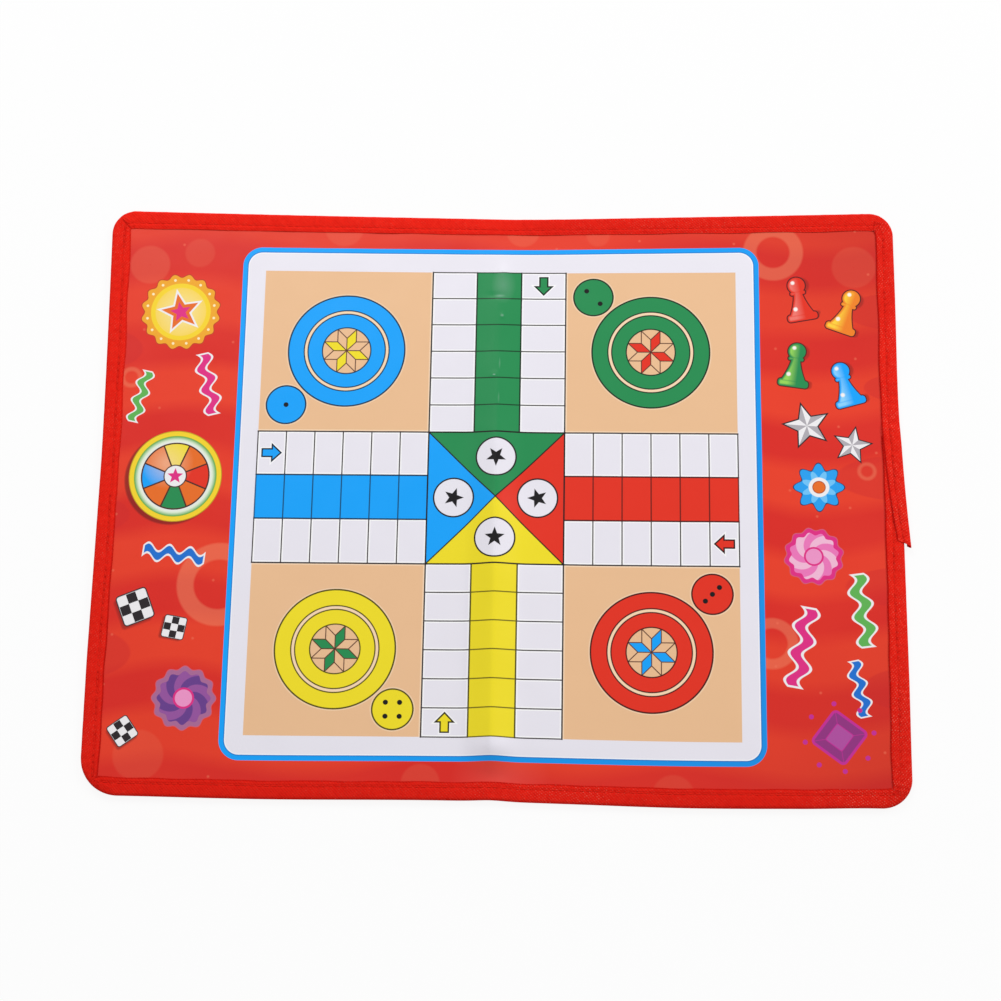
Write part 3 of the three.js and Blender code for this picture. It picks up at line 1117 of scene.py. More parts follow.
def tube_faces(points, rings, around, count=1):
    """Quads of a number of like tubes and the caps at their ends, all facing outwards.

    A tube is made of closed rings of points that follow one another. A point's number is its place
    in its ring, plus the points of all the rings and all the tubes before."""
    block = rings * around
    tube = np.arange(count)[:, None, None] * block
    ring = np.arange(rings - 1)[:, None] * around
    here = np.arange(around)[None, :]
    then = (here + 1) % around
    quads = np.stack([ring + here, ring + then, ring + around + then, ring + around + here], -1)
    faces = (quads.reshape(-1, 4)[None] + tube).reshape(-1, 4)
    outward = faces_outwards(points, faces)
    first, last = here[0], here[0] + block - around
    ends = (first[::-1], last) if np.array_equal(outward, faces) else (first, last[::-1])
    return outward, [end + block * number for number in range(count) for end in ends]


def plate_skin(upper, lower):
    """The points and quads of a closed plate between two like grids: top, underside and rim."""
    rows, columns = upper.shape[:2]
    count = rows * columns
    points = np.concatenate([upper.reshape(-1, 3), lower.reshape(-1, 3)])
    at = np.arange(count).reshape(rows, columns)
    top = np.stack([at[:-1, :-1], at[1:, :-1], at[1:, 1:], at[:-1, 1:]], -1).reshape(-1, 4)
    rim = np.concatenate([at[0, :-1], at[:-1, -1], at[-1, :0:-1], at[:0:-1, 0]])
    after = np.roll(rim, -1)
    wall = np.stack([rim, after, after + count, rim + count], -1)
    faces = np.concatenate([top, top[:, ::-1] + count, wall])
    return points, faces_outwards(points, faces)


def smooth_step(share):
    """Rises from 0 to 1 between 0 and 1, level at both ends: 3 s^2 - 2 s^3."""
    share = np.clip(share, 0, 1)
    return share * share * (3 - 2 * share)


def bell(distance, reach):
    """1 in the middle, falling to both sides: e to minus the square of distance over reach."""
    return np.exp(-((distance / reach) ** 2))


UNEVEN_WAVES = 6


def unevenness(rng, along, across, wave, depth):
    """Soft random height: the sum of six slanted cosines of about one wave length, seeded."""
    total = np.zeros(np.broadcast(along, across).shape)
    for _ in range(UNEVEN_WAVES):
        length = wave * rng.uniform(0.6, 1.6)
        slant = rng.uniform(-1, 1)
        phase = rng.uniform(0, FULL_TURN)
        total = total + np.cos((along + across * slant) * (FULL_TURN / length) + phase)
    return total * (depth / (UNEVEN_WAVES / 2))


# The board's outline

# Corner radii by side, -1 left and 1 right, and by end, -1 front and 1 rear
CORNER_RADII = {(-1, 1): 14.4 * MM, (1, 1): 14.4 * MM, (-1, -1): 23 * MM, (1, -1): 17 * MM}

# Swells of the four edges, outwards: height, middle and reach in millimetres
REAR_SWELLS = ((-0.3, 30, 40),)
FRONT_SWELLS = ((-0.6, -20, 50), (-0.7, 0, 11), (0.9, 110, 50), (0.95, -140, 55))
RIGHT_SWELLS = ((-0.45, 75, 32),)
RUN_OUT = 1.3


def swelling(along, swells):
    """The sum of some swells along an edge, each a bell."""
    return sum(height * MM * bell(along - at * MM, reach * MM) for height, at, reach in swells)


def between(along, start, finish):
    """How far along a stretch given in millimetres, from 0 at its start to 1 at its finish."""
    return (along - start * MM) / ((finish - start) * MM)


def drawn(x, y):
    """Moves points of the flat board in its plane, as the sewn cloth is drawn.

    The rear edge is drawn in at the fold and runs out to both corners, with a power of the
    distance, and so does the left one to the rear. The front one is drawn in at the fold and runs
    out evenly to the right, but for its end. The right one is nearly even. Each has its swells,
    and the moves fade with the fourth power of the distance from the board's middle."""
    rear = -1.7 * MM + 4.5 * MM * np.abs(between(x, 10, 235)) ** RUN_OUT
    rear = rear + swelling(x, REAR_SWELLS)
    front = -0.6 * MM + 1.2 * MM * np.clip(between(x, 0, 150), -1, 1) + swelling(x, FRONT_SWELLS)
    front = front - 0.7 * MM * smooth_step(between(x, 175, 215))
    left = -1.1 * MM + 3.5 * MM * np.clip(between(y, 20, 170), 0, 2) ** RUN_OUT
    left = left - 0.8 * MM * np.clip(between(y, -100, -160), 0, 1)
    right = 1.5 * MM + swelling(y, RIGHT_SWELLS) - 0.4 * MM * smooth_step(between(y, -100, -160))
    far_x, far_y = (x / HALF_WIDTH) ** 4, (y / HALF_DEPTH) ** 4
    moved_x = x + np.where(x > 0, right, -left) * far_x
    moved_y = y + np.where(y > 0, rear, -front) * far_y
    return moved_x, moved_y


def edge_y(x, end, inset):
    """How far from the middle line the outline runs at each x, set in by that much: straight, then
    a quarter circle at the corner."""
    radius = np.where(x < 0, CORNER_RADII[-1, end], CORNER_RADII[1, end]) - inset
    beyond = np.clip(np.abs(x) - (HALF_WIDTH - inset - radius), 0, radius)
    return HALF_DEPTH - inset - radius + np.sqrt(np.maximum(radius**2 - beyond**2, 0))


def sheet_grid(x, rows, inset):
    """A grid over the board between two x, whose columns end at the outline set in by that much."""
    share = np.linspace(0, 1, rows)[None, :]
    front, rear = -edge_y(x, -1, inset)[:, None], edge_y(x, 1, inset)[:, None]
    return np.broadcast_to(x[:, None], (len(x), rows)), front + (rear - front) * share


def plate(x, y, top, thickness):
    """A closed plate over a grid of flat places, drawn as the board is, and those places."""
    moved_x, moved_y = drawn(x, y)
    upper = np.stack([moved_x, moved_y, top], -1)
    points, faces = plate_skin(upper, upper - np.array([0, 0, thickness]))
    flat = np.stack([x, y, np.zeros_like(y)], -1).reshape(-1, 3)
    return points, faces, np.concatenate([flat, flat])


# Fold in the printed sheet
REAR_FADE = 52 * MM
FRONT_FADE = 22 * MM
TAPE_COVER = 11 * MM
CREST_ROUNDING = 1.6 * MM
FLANK_REACH = 14.5 * MM
FLANK_SOFTNESS = 0.06
RIDGE_LEAST, RIDGE_GAIN = 0.24, 0.8
RIPPLE_SHARE, SHORT_RIPPLE, LONG_RIPPLE = 0.05, 67 * MM, 113 * MM
SHOULDER, SHOULDER_AT, SHOULDER_REACH = 1.3 * MM, 20 * MM, 28 * MM

# Dents left by folding: middle, half sizes and height in millimetres
DENTS = (
    (3, 141, 2.8, 8, 0.55),
    (-1, 128.5, 6, 1.3, -0.3),
    (2, 115, 1.2, 1.2, 0.35),
    (-3, 96, 1.6, 7, 0.12),
    (-2, 77, 2.6, 1.2, 0.18),
    (5, -150, 5, 7, 0.4),
    (-4, -142, 2.4, 12, -0.06),
    (-1, 12, 2, 5, 0.12),
)


def ridge_rise(x, y):
    """Height of the fold's ridge: two straight flanks with a rounded crest and soft feet, highest
    in the front half, faded out towards both ends, with a low shoulder on its right in the front
    half and small dents."""
    from_crest = np.sqrt(x**2 + CREST_ROUNDING**2) - CREST_ROUNDING
    still_high = 1 - from_crest / FLANK_REACH
    flanks = (still_high + np.sqrt(still_high**2 + FLANK_SOFTNESS)) / 2
    rear = smooth_step((HALF_DEPTH - TAPE_COVER - y) / REAR_FADE)
    front = smooth_step((HALF_DEPTH - TAPE_COVER + y) / FRONT_FADE)
    height = RIDGE_HEIGHT * (RIDGE_LEAST + RIDGE_GAIN * smooth_step(between(y, 130, -40)))
    short, long = y * FULL_TURN / SHORT_RIPPLE, y * FULL_TURN / LONG_RIPPLE
    ripple = 1 + RIPPLE_SHARE * np.cos(short) * np.cos(long + 1)
    shoulder = SHOULDER * bell(x - SHOULDER_AT, SHOULDER_REACH) * smooth_step(between(y, 10, -50))
    reach = smooth_step((1.6 * RIDGE_REACH - np.abs(x)) / RIDGE_REACH)
    rise = (height * flanks * ripple * reach + shoulder) * rear * front
    for at_x, at_y, wide, tall, lift in DENTS:
        rise = rise + lift * MM * bell(x - at_x * MM, wide * MM) * bell(y - at_y * MM, tall * MM)
    return np.maximum(rise, 0)


# The printed sheet's grid, how much closer its columns are at the crest, as a power, and its waves
# (length and height)
FACE_ROWS = 251
RIDGE_COLUMNS = 40
FLAT_COLUMNS = 56
CREST_CROWDING = 1.5
FACE_WAVES = 46 * MM, 0.09 * MM


def face_half(side, rng):
    """Half of the printed sheet, from the crest to the side edge, its columns closer at the crest.

    It is raised by the ridge and by a soft unevenness that starts at the ridge's foot."""
    near = RIDGE_REACH * np.linspace(0, 1, RIDGE_COLUMNS) ** CREST_CROWDING
    far = np.linspace(RIDGE_REACH, HALF_WIDTH - SHEET_INSET, FLAT_COLUMNS)[1:]
    x, y = sheet_grid(side * np.concatenate([near, far]), FACE_ROWS, SHEET_INSET)
    flat = smooth_step(np.abs(x) / RIDGE_REACH)
    top = FACE_TOP + ridge_rise(x, y) + unevenness(rng, x, y, *FACE_WAVES) * flat
    return plate(x, y, top, FACE_TOP - FACE_LOW.z)


# Binding tape
PLY = 0.45 * MM
NOSE_DEPTH = 1.9 * MM
STEP = 0.75 * MM
FINE_STEP = 0.4 * MM
FOLD_ZONE = 14 * MM
CORNER_STEPS = 70
STRAIGHT_OUT = 0.999
LAP_START = 43 * MM
LAP_END = -28 * MM
LAP_SLANT = 4 * MM
LAP_STAND_OFF = 3.9 * MM
LAP_NARROWING = 2.6 * MM
LAP_ROW_SHIFT = 1.9 * MM
LAP_UNDER = 3 * MM
LAP_CLIMB = 6 * MM
LAP_RISE = PLY + 0.1 * MM
LAP_CURVE = 1.6
NOSE_ROUNDNESS = 0.82

# How the upper ply lies: puffed outside the stitching and inside it, drawn in along the row and at
# its holes (depth and reach), sunk and lifted at the cut edge, flattened and sunk at the fold
PUFF_OUTSIDE = 0.17 * MM
PUFF_INSIDE = 0.12 * MM
TRENCH = 0.11 * MM, 0.9 * MM
HOLE = 0.1 * MM, 0.7 * MM
EDGE_SINK = 0.26 * MM
EDGE_BAND = 2.2 * MM
CORNER_REACH = 22 * MM
FOLD_REACH, FOLD_FLATTENING, FOLD_SINK = 13 * MM, 0.75, 0.1 * MM

# Its random unevenness: wave length and height
WIDTH_WANDER = 38 * MM, 0.22 * MM
ROW_WANDER = 90 * MM, 0.2 * MM
BUMPS = 12 * MM, 0.1 * MM
PUCKERS = 3.6 * MM, 0.05 * MM
CORNER_WRINKLES = 4 * MM, 0.16 * MM
EDGE_LIFT = 30 * MM, 0.12 * MM

# The painted shade of the gap under the cut edge: how far it reaches from the edge, and how
# softly it starts
CUT_SHADE_BAND, CUT_SHADE_FADE = 1 * MM, 0.5 * MM

# Points across the upper ply, as stretches of shares of its width, and across the lower ply, then
# points round the outside and the inside of the nose, and the least that lies beyond the nose
UPPER_STRETCHES = ((1, 0.9, 5), (0.87, 0.4, 18), (0.34, 0, 6))
LOWER_SHARES = (0, 0.2, 0.4, 0.5, 0.55, 0.6, 0.7, 0.85, 1)
NOSE_POINTS, INNER_NOSE_POINTS = 13, 7
LEAST_WIDTH = NOSE_DEPTH + 0.15 * MM

# Where it is crumpled across the front of the fold: height, two wave lengths by 2 pi, and reach
CRUMPLE = 0.2 * MM, 1.5 * MM, 2.6 * MM, 8 * MM

# It is pressed low beside the fold, so that the closed halves don't meet: how high at the fold
# itself, how much it may rise with the distance, and up to where
FOLD_CLEARANCE, FOLD_CLEARANCE_SLOPE, FOLD_CLEARANCE_REACH = 0.14 * MM, 0.0175, 60 * MM

# A crease: how softly it starts and ends, how steep it is, and how far it takes to sink back, then
# its painted shade's strength, place before the step and reach
CREASE_FADE, CREASE_STEP, CREASE_FALL = 1.2 * MM, 0.6 * MM, 4.5 * MM
CREASE_SHADE, CREASE_SHADE_AT, CREASE_SHADE_REACH = 0.45, 0.35 * MM, 0.5 * MM

# Creases in the corners: side, end, then start, finish and the higher side as distances from the
# side edge and from the end edge, and height, in millimetres
CREASES = (
    (-1, 1, (6.0, 5.4), (11.4, 11.2), (1, -1), 0.36),
    (1, 1, (12.0, 12.6), (10.4, 5.0), (-1, 0), 0.55),
    (-1, -1, (9.7, 9.8), (19.0, 4.9), (-1, -1), 0.5),
    (1, -1, (10.8, 11.0), (2.2, 9.8), (0, -1), 0.6),
    (1, -1, (14.0, 7.2), (10.2, 9.4), (0, -1), 0.35),
)


class Path:
    """Stations along the board's outline.

    Each has the centre of a corner's arc, the outward directions of the edge that the arc leaves
    and of the one that it meets, the angle turned, the radius, and the lengths of cloth at both
    ends of the arc. A station on a straight edge is the start of an arc of 1 mm radius."""

    def __init__(self):
        self.stretches = []
        self.length = 0.0

    def add(self, *columns):
        """Adds a stretch of stations, from arrays and from numbers that all of them share."""
        self.stretches.append(np.stack(np.broadcast_arrays(*columns), -1))

    def straight(self, start, end, out, step=STEP, whole=False):
        """Stations at even steps from the start to the end, with the last one if it is whole."""
        start, end, out = np.array(start), np.array(end), np.array(out)
        total = np.linalg.norm(end - start)
        count = max(int(round(total / step)), 1)
        share = np.linspace(0, 1, count + 1)[: None if whole else -1]
        radius = 1 * MM
        centre_x, centre_y = (start + (end - start) * share[:, None] - out * radius).T
        length = self.length + total * share
        self.add(centre_x, centre_y, *out, 0, 0, 0, radius, length, length)
        self.length += total

    def corner(self, side, end, side_first):
        """Stations at even angles round a corner, whose cloth is as long as the square corner's."""
        radius = CORNER_RADII[side, end]
        centre = (side * (HALF_WIDTH - radius), end * (HALF_DEPTH - radius))
        first, second = ((side, 0), (0, end)) if side_first else ((0, end), (side, 0))
        finish = self.length + 2 * radius
        angle = np.linspace(0, FULL_TURN / 4, CORNER_STEPS + 1)[:-1]
        self.add(*centre, *first, *second, angle, radius, self.length, finish)
        self.length = finish

    def across_board(self, start, end, out):
        """A front or rear edge, with closer stations at the fold."""
        y = start[1]
        turn = math.copysign(FOLD_ZONE, end[0])
        self.straight(start, (-turn, y), out)
        self.straight((-turn, y), (turn, y), out, FINE_STEP)
        self.straight((turn, y), end, out)


def front_path():
    """From the right side, under the lap, round the front to the middle of the left side."""
    path = Path()
    right, left = CORNER_RADII[1, -1], CORNER_RADII[-1, -1]
    path.straight((HALF_WIDTH, LAP_START - LAP_UNDER), (HALF_WIDTH, -HALF_DEPTH + right), (1, 0))
    path.corner(1, -1, True)
    path.across_board((HALF_WIDTH - right, -HALF_DEPTH), (left - HALF_WIDTH, -HALF_DEPTH), (0, -1))
    path.corner(-1, -1, False)
    path.straight((-HALF_WIDTH, -HALF_DEPTH + left), (-HALF_WIDTH, 0), (-1, 0), whole=True)
    return path


def rear_path():
    """From the middle of the left side round the rear to the lapped end on the right side."""
    path = Path()
    left, right = CORNER_RADII[-1, 1], CORNER_RADII[1, 1]
    path.straight((-HALF_WIDTH, 0), (-HALF_WIDTH, HALF_DEPTH - left), (-1, 0))
    path.corner(-1, 1, True)
    path.across_board((-HALF_WIDTH + left, HALF_DEPTH), (HALF_WIDTH - right, HALF_DEPTH), (0, 1))
    path.corner(1, 1, False)
    climb = (HALF_WIDTH, LAP_START + LAP_CLIMB)
    path.straight((HALF_WIDTH, HALF_DEPTH - right), climb, (1, 0))
    path.straight(climb, (HALF_WIDTH, LAP_END), (1, 0), FINE_STEP, True)
    return path


def nose_curve(turn):
    """Half a superellipse: how far it bulges and how high it is, as powers of sine and cosine."""
    sideways, upwards = np.sin(turn), np.cos(turn)
    return np.abs(sideways) ** NOSE_ROUNDNESS, np.sign(upwards) * np.abs(upwards) ** NOSE_ROUNDNESS


class Run:
    """One run of the tape. The cloth lies on rays from the outline to the inner edge, which is
    square at the corners though the outline is round. On a ray the stitching keeps its place from
    the edges, so the ray's share grows as a power of the depth, chosen to pass through it."""

    def __init__(self, path, sizes, rng, lap):
        rows = np.concatenate(path.stretches)
        self.rng = rng
        self.count = len(rows)
        self.centre, self.first, self.second = (rows[:, None, k : k + 2] for k in (0, 2, 4))
        self.angle, self.radius, self.start, self.finish = rows.T[6:, :, None]
        self.length = path.length
        self.pitch = sizes.stitch_pitch
        self.outer_y = self.flat_place(*self.outline())[1]
        out = self.first[:, 0] * np.cos(self.angle) + self.second[:, 0] * np.sin(self.angle)
        self.out_x, self.out_y = out[:, 0:1], out[:, 1:2]
        self.along = self.cloth_length(*self.outline())
        self.lap_share(lap)
        self.widths(sizes)
        self.rays()
        self.stitch_row()

    def outline(self):
        """Distances of the outline's point from the two edges' tangents."""
        return self.radius * (1 - np.cos(self.angle)), self.radius * (1 - np.sin(self.angle))

    def flat_place(self, from_first, from_second):
        """Flat places from the distances from the two edges' tangents."""
        place = (
            self.centre
            + self.first * (self.radius - from_first)[..., None]
            + self.second * (self.radius - from_second)[..., None]
        )
        return place[..., 0], place[..., 1]

    def cloth_length(self, from_first, from_second):
        """Length along the cloth, which runs straight on to the corner's diagonal and from it."""
        before = self.start + self.radius - from_second
        after = self.finish - self.radius + from_first
        return np.where(self.angle <= FULL_TURN / 8, before, after)

    def lap_share(self, lap):
        """How far the lapped end has come, and how far it has climbed over the tape's start."""
        on_side = (self.out_x > STRAIGHT_OUT) & lap
        share = np.where(on_side, (LAP_START - self.outer_y) / (LAP_START - LAP_END), 0)
        self.lapped = np.clip(share, 0, 1)
        climb = smooth_step((LAP_START + LAP_CLIMB - self.outer_y) / LAP_CLIMB)
        self.climb = np.where(on_side, climb, 0) * LAP_RISE
        ease = smooth_step((LAP_START + 2 * LAP_CLIMB - self.outer_y) / (4 * LAP_CLIMB))
        self.stand = (LAP_STAND_OFF - PLY) * self.lapped**LAP_CURVE
        self.stand = self.stand + np.where(on_side, ease, 0) * LAP_RISE

    def widths(self, sizes):
        """Widths and stitching differ a little by side: wider on the left, at the rear and at the
        right's front end, and sewn nearest the edge on the right."""
        self.left, self.right = smooth_step(-self.out_x), smooth_step(self.out_x)
        self.rear, self.front = smooth_step(self.out_y), smooth_step(-self.out_y)
        flare = smooth_step(between(self.outer_y, -20, -160)) * self.right
        wider = self.by_side(left=0.6, rear=0.3, front=-0.1, right=-0.1) + 0.9 * flare
        width = sizes.tape_width + wider * MM + unevenness(self.rng, self.along, 0, *WIDTH_WANDER)
        self.width = width - LAP_NARROWING * self.lapped**LAP_CURVE
        wander = unevenness(self.rng, self.along, 0, *ROW_WANDER)
        deeper = self.by_side(left=0.6, rear=0.6, front=0.6, right=-0.7)
        inset = sizes.stitch_inset + deeper * MM
        self.groove = inset + wander - LAP_ROW_SHIFT * self.lapped**LAP_CURVE
        # How strongly the painted shade along the stitching row shows, by side
        self.shown = self.by_side(0.6, 0.12, 0.1, 0.5 + 0.45 * self.lapped)

    def by_side(self, left, rear, front, right):
        """A value that differs by side, each side's part fading out round its corners."""
        return left * self.left + rear * self.rear + front * self.front + right * self.right

    def rays(self):
        """The ray at each station, from the outline to the inner edge, and the power on it."""
        from_first, from_second = self.outline()
        half_turns = self.angle / (FULL_TURN / 8)
        opening = self.angle <= FULL_TURN / 8
        inner = self.radius - self.width
        end_first = np.where(opening, self.width, self.radius - inner * (2 - half_turns))
        end_second = np.where(opening, self.radius - inner * half_turns, self.width)
        self.ray_first, self.ray_second = end_first - from_first, end_second - from_second
        self.ray = np.hypot(self.ray_first, self.ray_second)
        near = np.where(opening, from_first, from_second)
        row = self.ray * (self.groove - near) / (self.width - near)
        share = np.clip((row - NOSE_DEPTH) / (self.ray - NOSE_DEPTH), 0.02, 0.98)
        self.power = np.log(share) / np.log((self.groove - NOSE_DEPTH) / (self.width - NOSE_DEPTH))

    def place(self, depth):
        """Flat places at some depths from the edge, with their distances from the two edges."""
        beyond = np.clip((depth - NOSE_DEPTH) / (self.width - NOSE_DEPTH), 0, None) ** self.power
        reach = np.minimum(depth, NOSE_DEPTH) + (self.ray - NOSE_DEPTH) * beyond
        outer_first, outer_second = self.outline()
        from_first = outer_first + self.ray_first / self.ray * reach
        from_second = outer_second + self.ray_second / self.ray * reach
        x, y = self.flat_place(from_first, from_second)
        y = y + LAP_SLANT * self.lapped**2 * (depth / self.width) ** 0.8
        return x, y, from_first, from_second

    def stitch_row(self):
        """Length along the row of stitching."""
        x, y, _, _ = self.place(self.groove)
        gaps = np.hypot(np.diff(x[:, 0]), np.diff(y[:, 0]))
        self.seam = np.concatenate([[0], np.cumsum(gaps)])[:, None]

    def sewn(self, depth):
        """How deep the stitching draws the cloth in: a trench along the row, more at each hole."""
        at_hole = (0.5 + 0.5 * np.cos(self.seam * (FULL_TURN / self.pitch))) ** 2
        from_row = depth - self.groove
        (trench, trench_reach), (hole, hole_reach) = TRENCH, HOLE
        return trench * bell(from_row, trench_reach), hole * bell(from_row, hole_reach) * at_hole

    def top(self, depth, x, y):
        """Height of the upper ply with and without its needle holes, and its painted shade.

        It is puffed in a wide band outside the stitching and a narrow one inside it, drawn in along
        the row, crumpled at the corners and at the front of the fold, and its cut edge sinks and
        lifts a little."""
        outer = np.clip(depth / self.groove, 0, 1)
        inner = np.clip((depth - self.groove) / (self.width - self.groove), 0, 1)
        puff = PUFF_OUTSIDE * np.sin(math.pi * outer) ** 0.8 + PUFF_INSIDE * np.sin(math.pi * inner)
        corner = sum(
            bell(np.hypot(x - side * HALF_WIDTH, y - end * HALF_DEPTH), CORNER_REACH)
            for side, end in CORNER_RADII
        )
        bumps = unevenness(self.rng, self.along, depth, *BUMPS)
        puckers = unevenness(self.rng, self.along, depth, *PUCKERS)
        wrinkles = unevenness(self.rng, x, y, *CORNER_WRINKLES) * corner
        trench, holes = self.sewn(depth)
        lift = unevenness(self.rng, self.along, 0, *EDGE_LIFT)
        edge = (lift - EDGE_SINK) * smooth_step((depth - self.width + EDGE_BAND) / EDGE_BAND)
        creases, shade = self.creases(x, y)
        height = puff + bumps + puckers + wrinkles - trench + edge + creases
        at_fold = bell(x, FOLD_REACH)
        crumpled, wave_x, wave_depth, reach = CRUMPLE
        crumple = crumpled * np.cos(x / wave_x + depth / wave_depth) * bell(x, reach)
        height = height * (1 - FOLD_FLATTENING * at_fold) - FOLD_SINK * at_fold
        height = height + crumple * (self.out_y < -STRAIGHT_OUT)
        z = np.maximum(TAPE_TOP + height, FACE_TOP + PLY - 0.03 * MM) + self.climb
        limit = TAPE_TOP + FOLD_CLEARANCE + FOLD_CLEARANCE_SLOPE * np.abs(x)
        z = np.where(np.abs(x) < FOLD_CLEARANCE_REACH, np.minimum(z, limit), z)
        # Painted shade in the gap under the cut edge, near the upper ply's inner edge
        under_cut = smooth_step((depth - self.width + CUT_SHADE_BAND) / CUT_SHADE_FADE)
        cut = under_cut * self.edge_shade()
        return z - holes, z, np.maximum(shade, cut)

    def edge_shade(self):
        """How dark the painted shade of the gap under the cut edge is: most at the right, least at
        the rear.
        """
        left = 0.3 + 0.35 * smooth_step(between(self.outer_y, 40, -100))
        side = np.where(self.out_x > 0, 0.8, left) * self.out_x**2
        end = np.where(self.out_y > 0, 0.1, 0.5) * self.out_y**2
        return side + end

    def side_shade(self, x, y):
        """Painted shade by side: how far the cloth falls off from its brightest, which is at the
        left end of the rear.
        """
        left = 0.06 + 0.1 * smooth_step(between(y, 20, -140))
        rear = 0.14 * smooth_step(between(x, 4, 28))
        front = 0.22 - 0.1 * bell(x - 20 * MM, 40 * MM)
        ends = 0.08 * smooth_step(between(y, 90, 140)) + 0.14 * smooth_step(between(y, -60, -150))
        return self.by_side(left, rear, front, 0.04 + ends)

    def gleam(self, x, y):
        """How strong the painted highlights on the cloth's pressed points are: most at the front of
        the fold, in the right front corner and on the lapped end."""
        fold = bell(x - 34 * MM, 46 * MM) * self.front
        corner = bell(np.hypot(x - 222 * MM, y + 168 * MM), 42 * MM)
        rear_end = smooth_step(between(x, 10, 50))
        side = self.by_side(0.1, 0.2 * rear_end, 0, 0.34 + 0.2 * self.lapped)
        return 0.12 + 0.5 * np.maximum(fold, corner) + side

    def creases(self, x, y):
        """Folds at the corners, and their painted shade: along a line the cloth steps up sharply to
        the higher side and sinks back gently beyond it."""
        rise, shade = np.zeros_like(x), np.zeros_like(x)
        for side, end, start, finish, higher, height in CREASES:
            from_side, from_end = HALF_WIDTH - side * x, HALF_DEPTH - end * y
            line = (np.array(finish) - np.array(start)) * MM
            length = np.hypot(*line)
            line = line / length
            normal = np.array([-line[1], line[0]])
            normal = normal * math.copysign(1, float(normal @ np.array(higher)))
            gap_side, gap_end = from_side - start[0] * MM, from_end - start[1] * MM
            up = gap_side * normal[0] + gap_end * normal[1]
            along = gap_side * line[0] + gap_end * line[1]
            begun = smooth_step(along / CREASE_FADE + 0.5)
            fade = begun * smooth_step((length - along) / CREASE_FADE + 0.5)
            step = smooth_step(up / CREASE_STEP + 0.5) * np.exp(-np.maximum(up, 0) / CREASE_FALL)
            rise = rise + height * MM * step * fade
            # Painted shade on the lower side of the crease
            dark = CREASE_SHADE * bell(up + CREASE_SHADE_AT, CREASE_SHADE_REACH)
            shade = np.maximum(shade, dark * fade)
        return rise, shade

    def rings(self):
        """Rings of points round the folded tape: the upper ply from its cut edge out, the nose, the
        lower ply, then the inner faces one ply inside. The nose is half a superellipse."""
        ones = np.ones((self.count, 1))
        shares = np.concatenate([np.linspace(*stretch) for stretch in UPPER_STRETCHES])
        depth = NOSE_DEPTH + (self.width - NOSE_DEPTH) * shares[None, :]
        x, y, _, _ = self.place(depth)
        z, unpierced, shade = self.top(depth, x, y)
        left_over = np.where(self.climb > 0, smooth_step((self.outer_y - LAP_START) / (5 * MM)), 1)
        low_width = LEAST_WIDTH + (self.width - LEAST_WIDTH) * left_over
        half_height = z[:, -1:] / 2
        bulge, rise = nose_curve(np.linspace(0, math.pi, NOSE_POINTS)[None, 1:-1])
        nose_depth = NOSE_DEPTH * (1 - bulge) * ones
        nose_z = half_height + half_height * rise
        under = NOSE_DEPTH + (low_width - NOSE_DEPTH) * np.array(LOWER_SHARES)
        trench, holes = self.sewn(under)
        under_z = (trench + holes) * 0.9 * (low_width > 6 * MM)
        bulge, rise = nose_curve(np.linspace(0, math.pi, INNER_NOSE_POINTS)[None, :])
        inner_depth = (NOSE_DEPTH - (NOSE_DEPTH - PLY) * bulge) * ones
        inner_z = half_height - (half_height - PLY) * rise
        return_depth, return_z = depth[:, ::-4], z[:, ::-4] - PLY
        depths = [depth, nose_depth, under, low_width, inner_depth, return_depth]
        heights = [z, nose_z, under_z, under_z[:, -1:] * 0 + PLY, inner_z, return_z]
        depths = np.concatenate(depths, axis=1)
        heights = np.concatenate(heights, axis=1)
        shade = np.pad(shade, ((0, 0), (0, depths.shape[1] - shade.shape[1])))
        x, y, from_first, from_second = self.place(depths)
        # Painted shade by side
        shade = np.maximum(shade, self.side_shade(x, y))
        # Painted shade, how much the stitching row's painted shade shows, and how strong the
        # painted highlights are
        look = np.stack([shade, self.shown + 0 * x, self.gleam(x, y)], -1)
        moved_x, moved_y = drawn(x, y)
        points = np.stack([moved_x + self.stand, moved_y, heights], -1)
        gaps = np.linalg.norm(np.diff(points, axis=1, append=points[:, :1]), axis=2)
        girth = np.cumsum(gaps, axis=1) - gaps
        cloth = np.stack([self.cloth_length(from_first, from_second), girth, 0 * x], -1)
        seam = np.stack([self.seam + 0 * x, depths - self.groove, 0 * x], -1)
        nearest_row = np.abs(depth - self.groove).argmin(axis=1)
        level = unpierced[np.arange(self.count), nearest_row]
        return points, level, {"tape_place": cloth, "tape_seam": seam, "tape_painted_light": look}

    def build(self, name, material):
        """The run as a closed skin."""
        rings, self.level, places = self.rings()
        points = rings.reshape(-1, 3)
        faces, caps = tube_faces(points, *rings.shape[:2])
        return new_piece(name, points, faces, material, "binding_tape", caps, **places)


def across_fold(piece):
    """Bakes the piece's place into its mesh and leaves the piece at the origin."""
    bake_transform(piece)


# Stitching
STITCH_RINGS = 7
STITCH_SIDES = 6
STITCH_ENDS = 0.08, 0.92
THREAD_AT_HOLE = 0.6
THREAD_FLATNESS = 0.8

# Levels at a stitch's ends and how much its middle stands higher: the upper row's from the tape's
# top, the lower row's from the floor
NEEDLE_LEVEL, NEEDLE_ARCH = -0.12 * MM, 0.26 * MM
BOBBIN_LEVEL, BOBBIN_ARCH = 0.3 * MM, -0.06 * MM


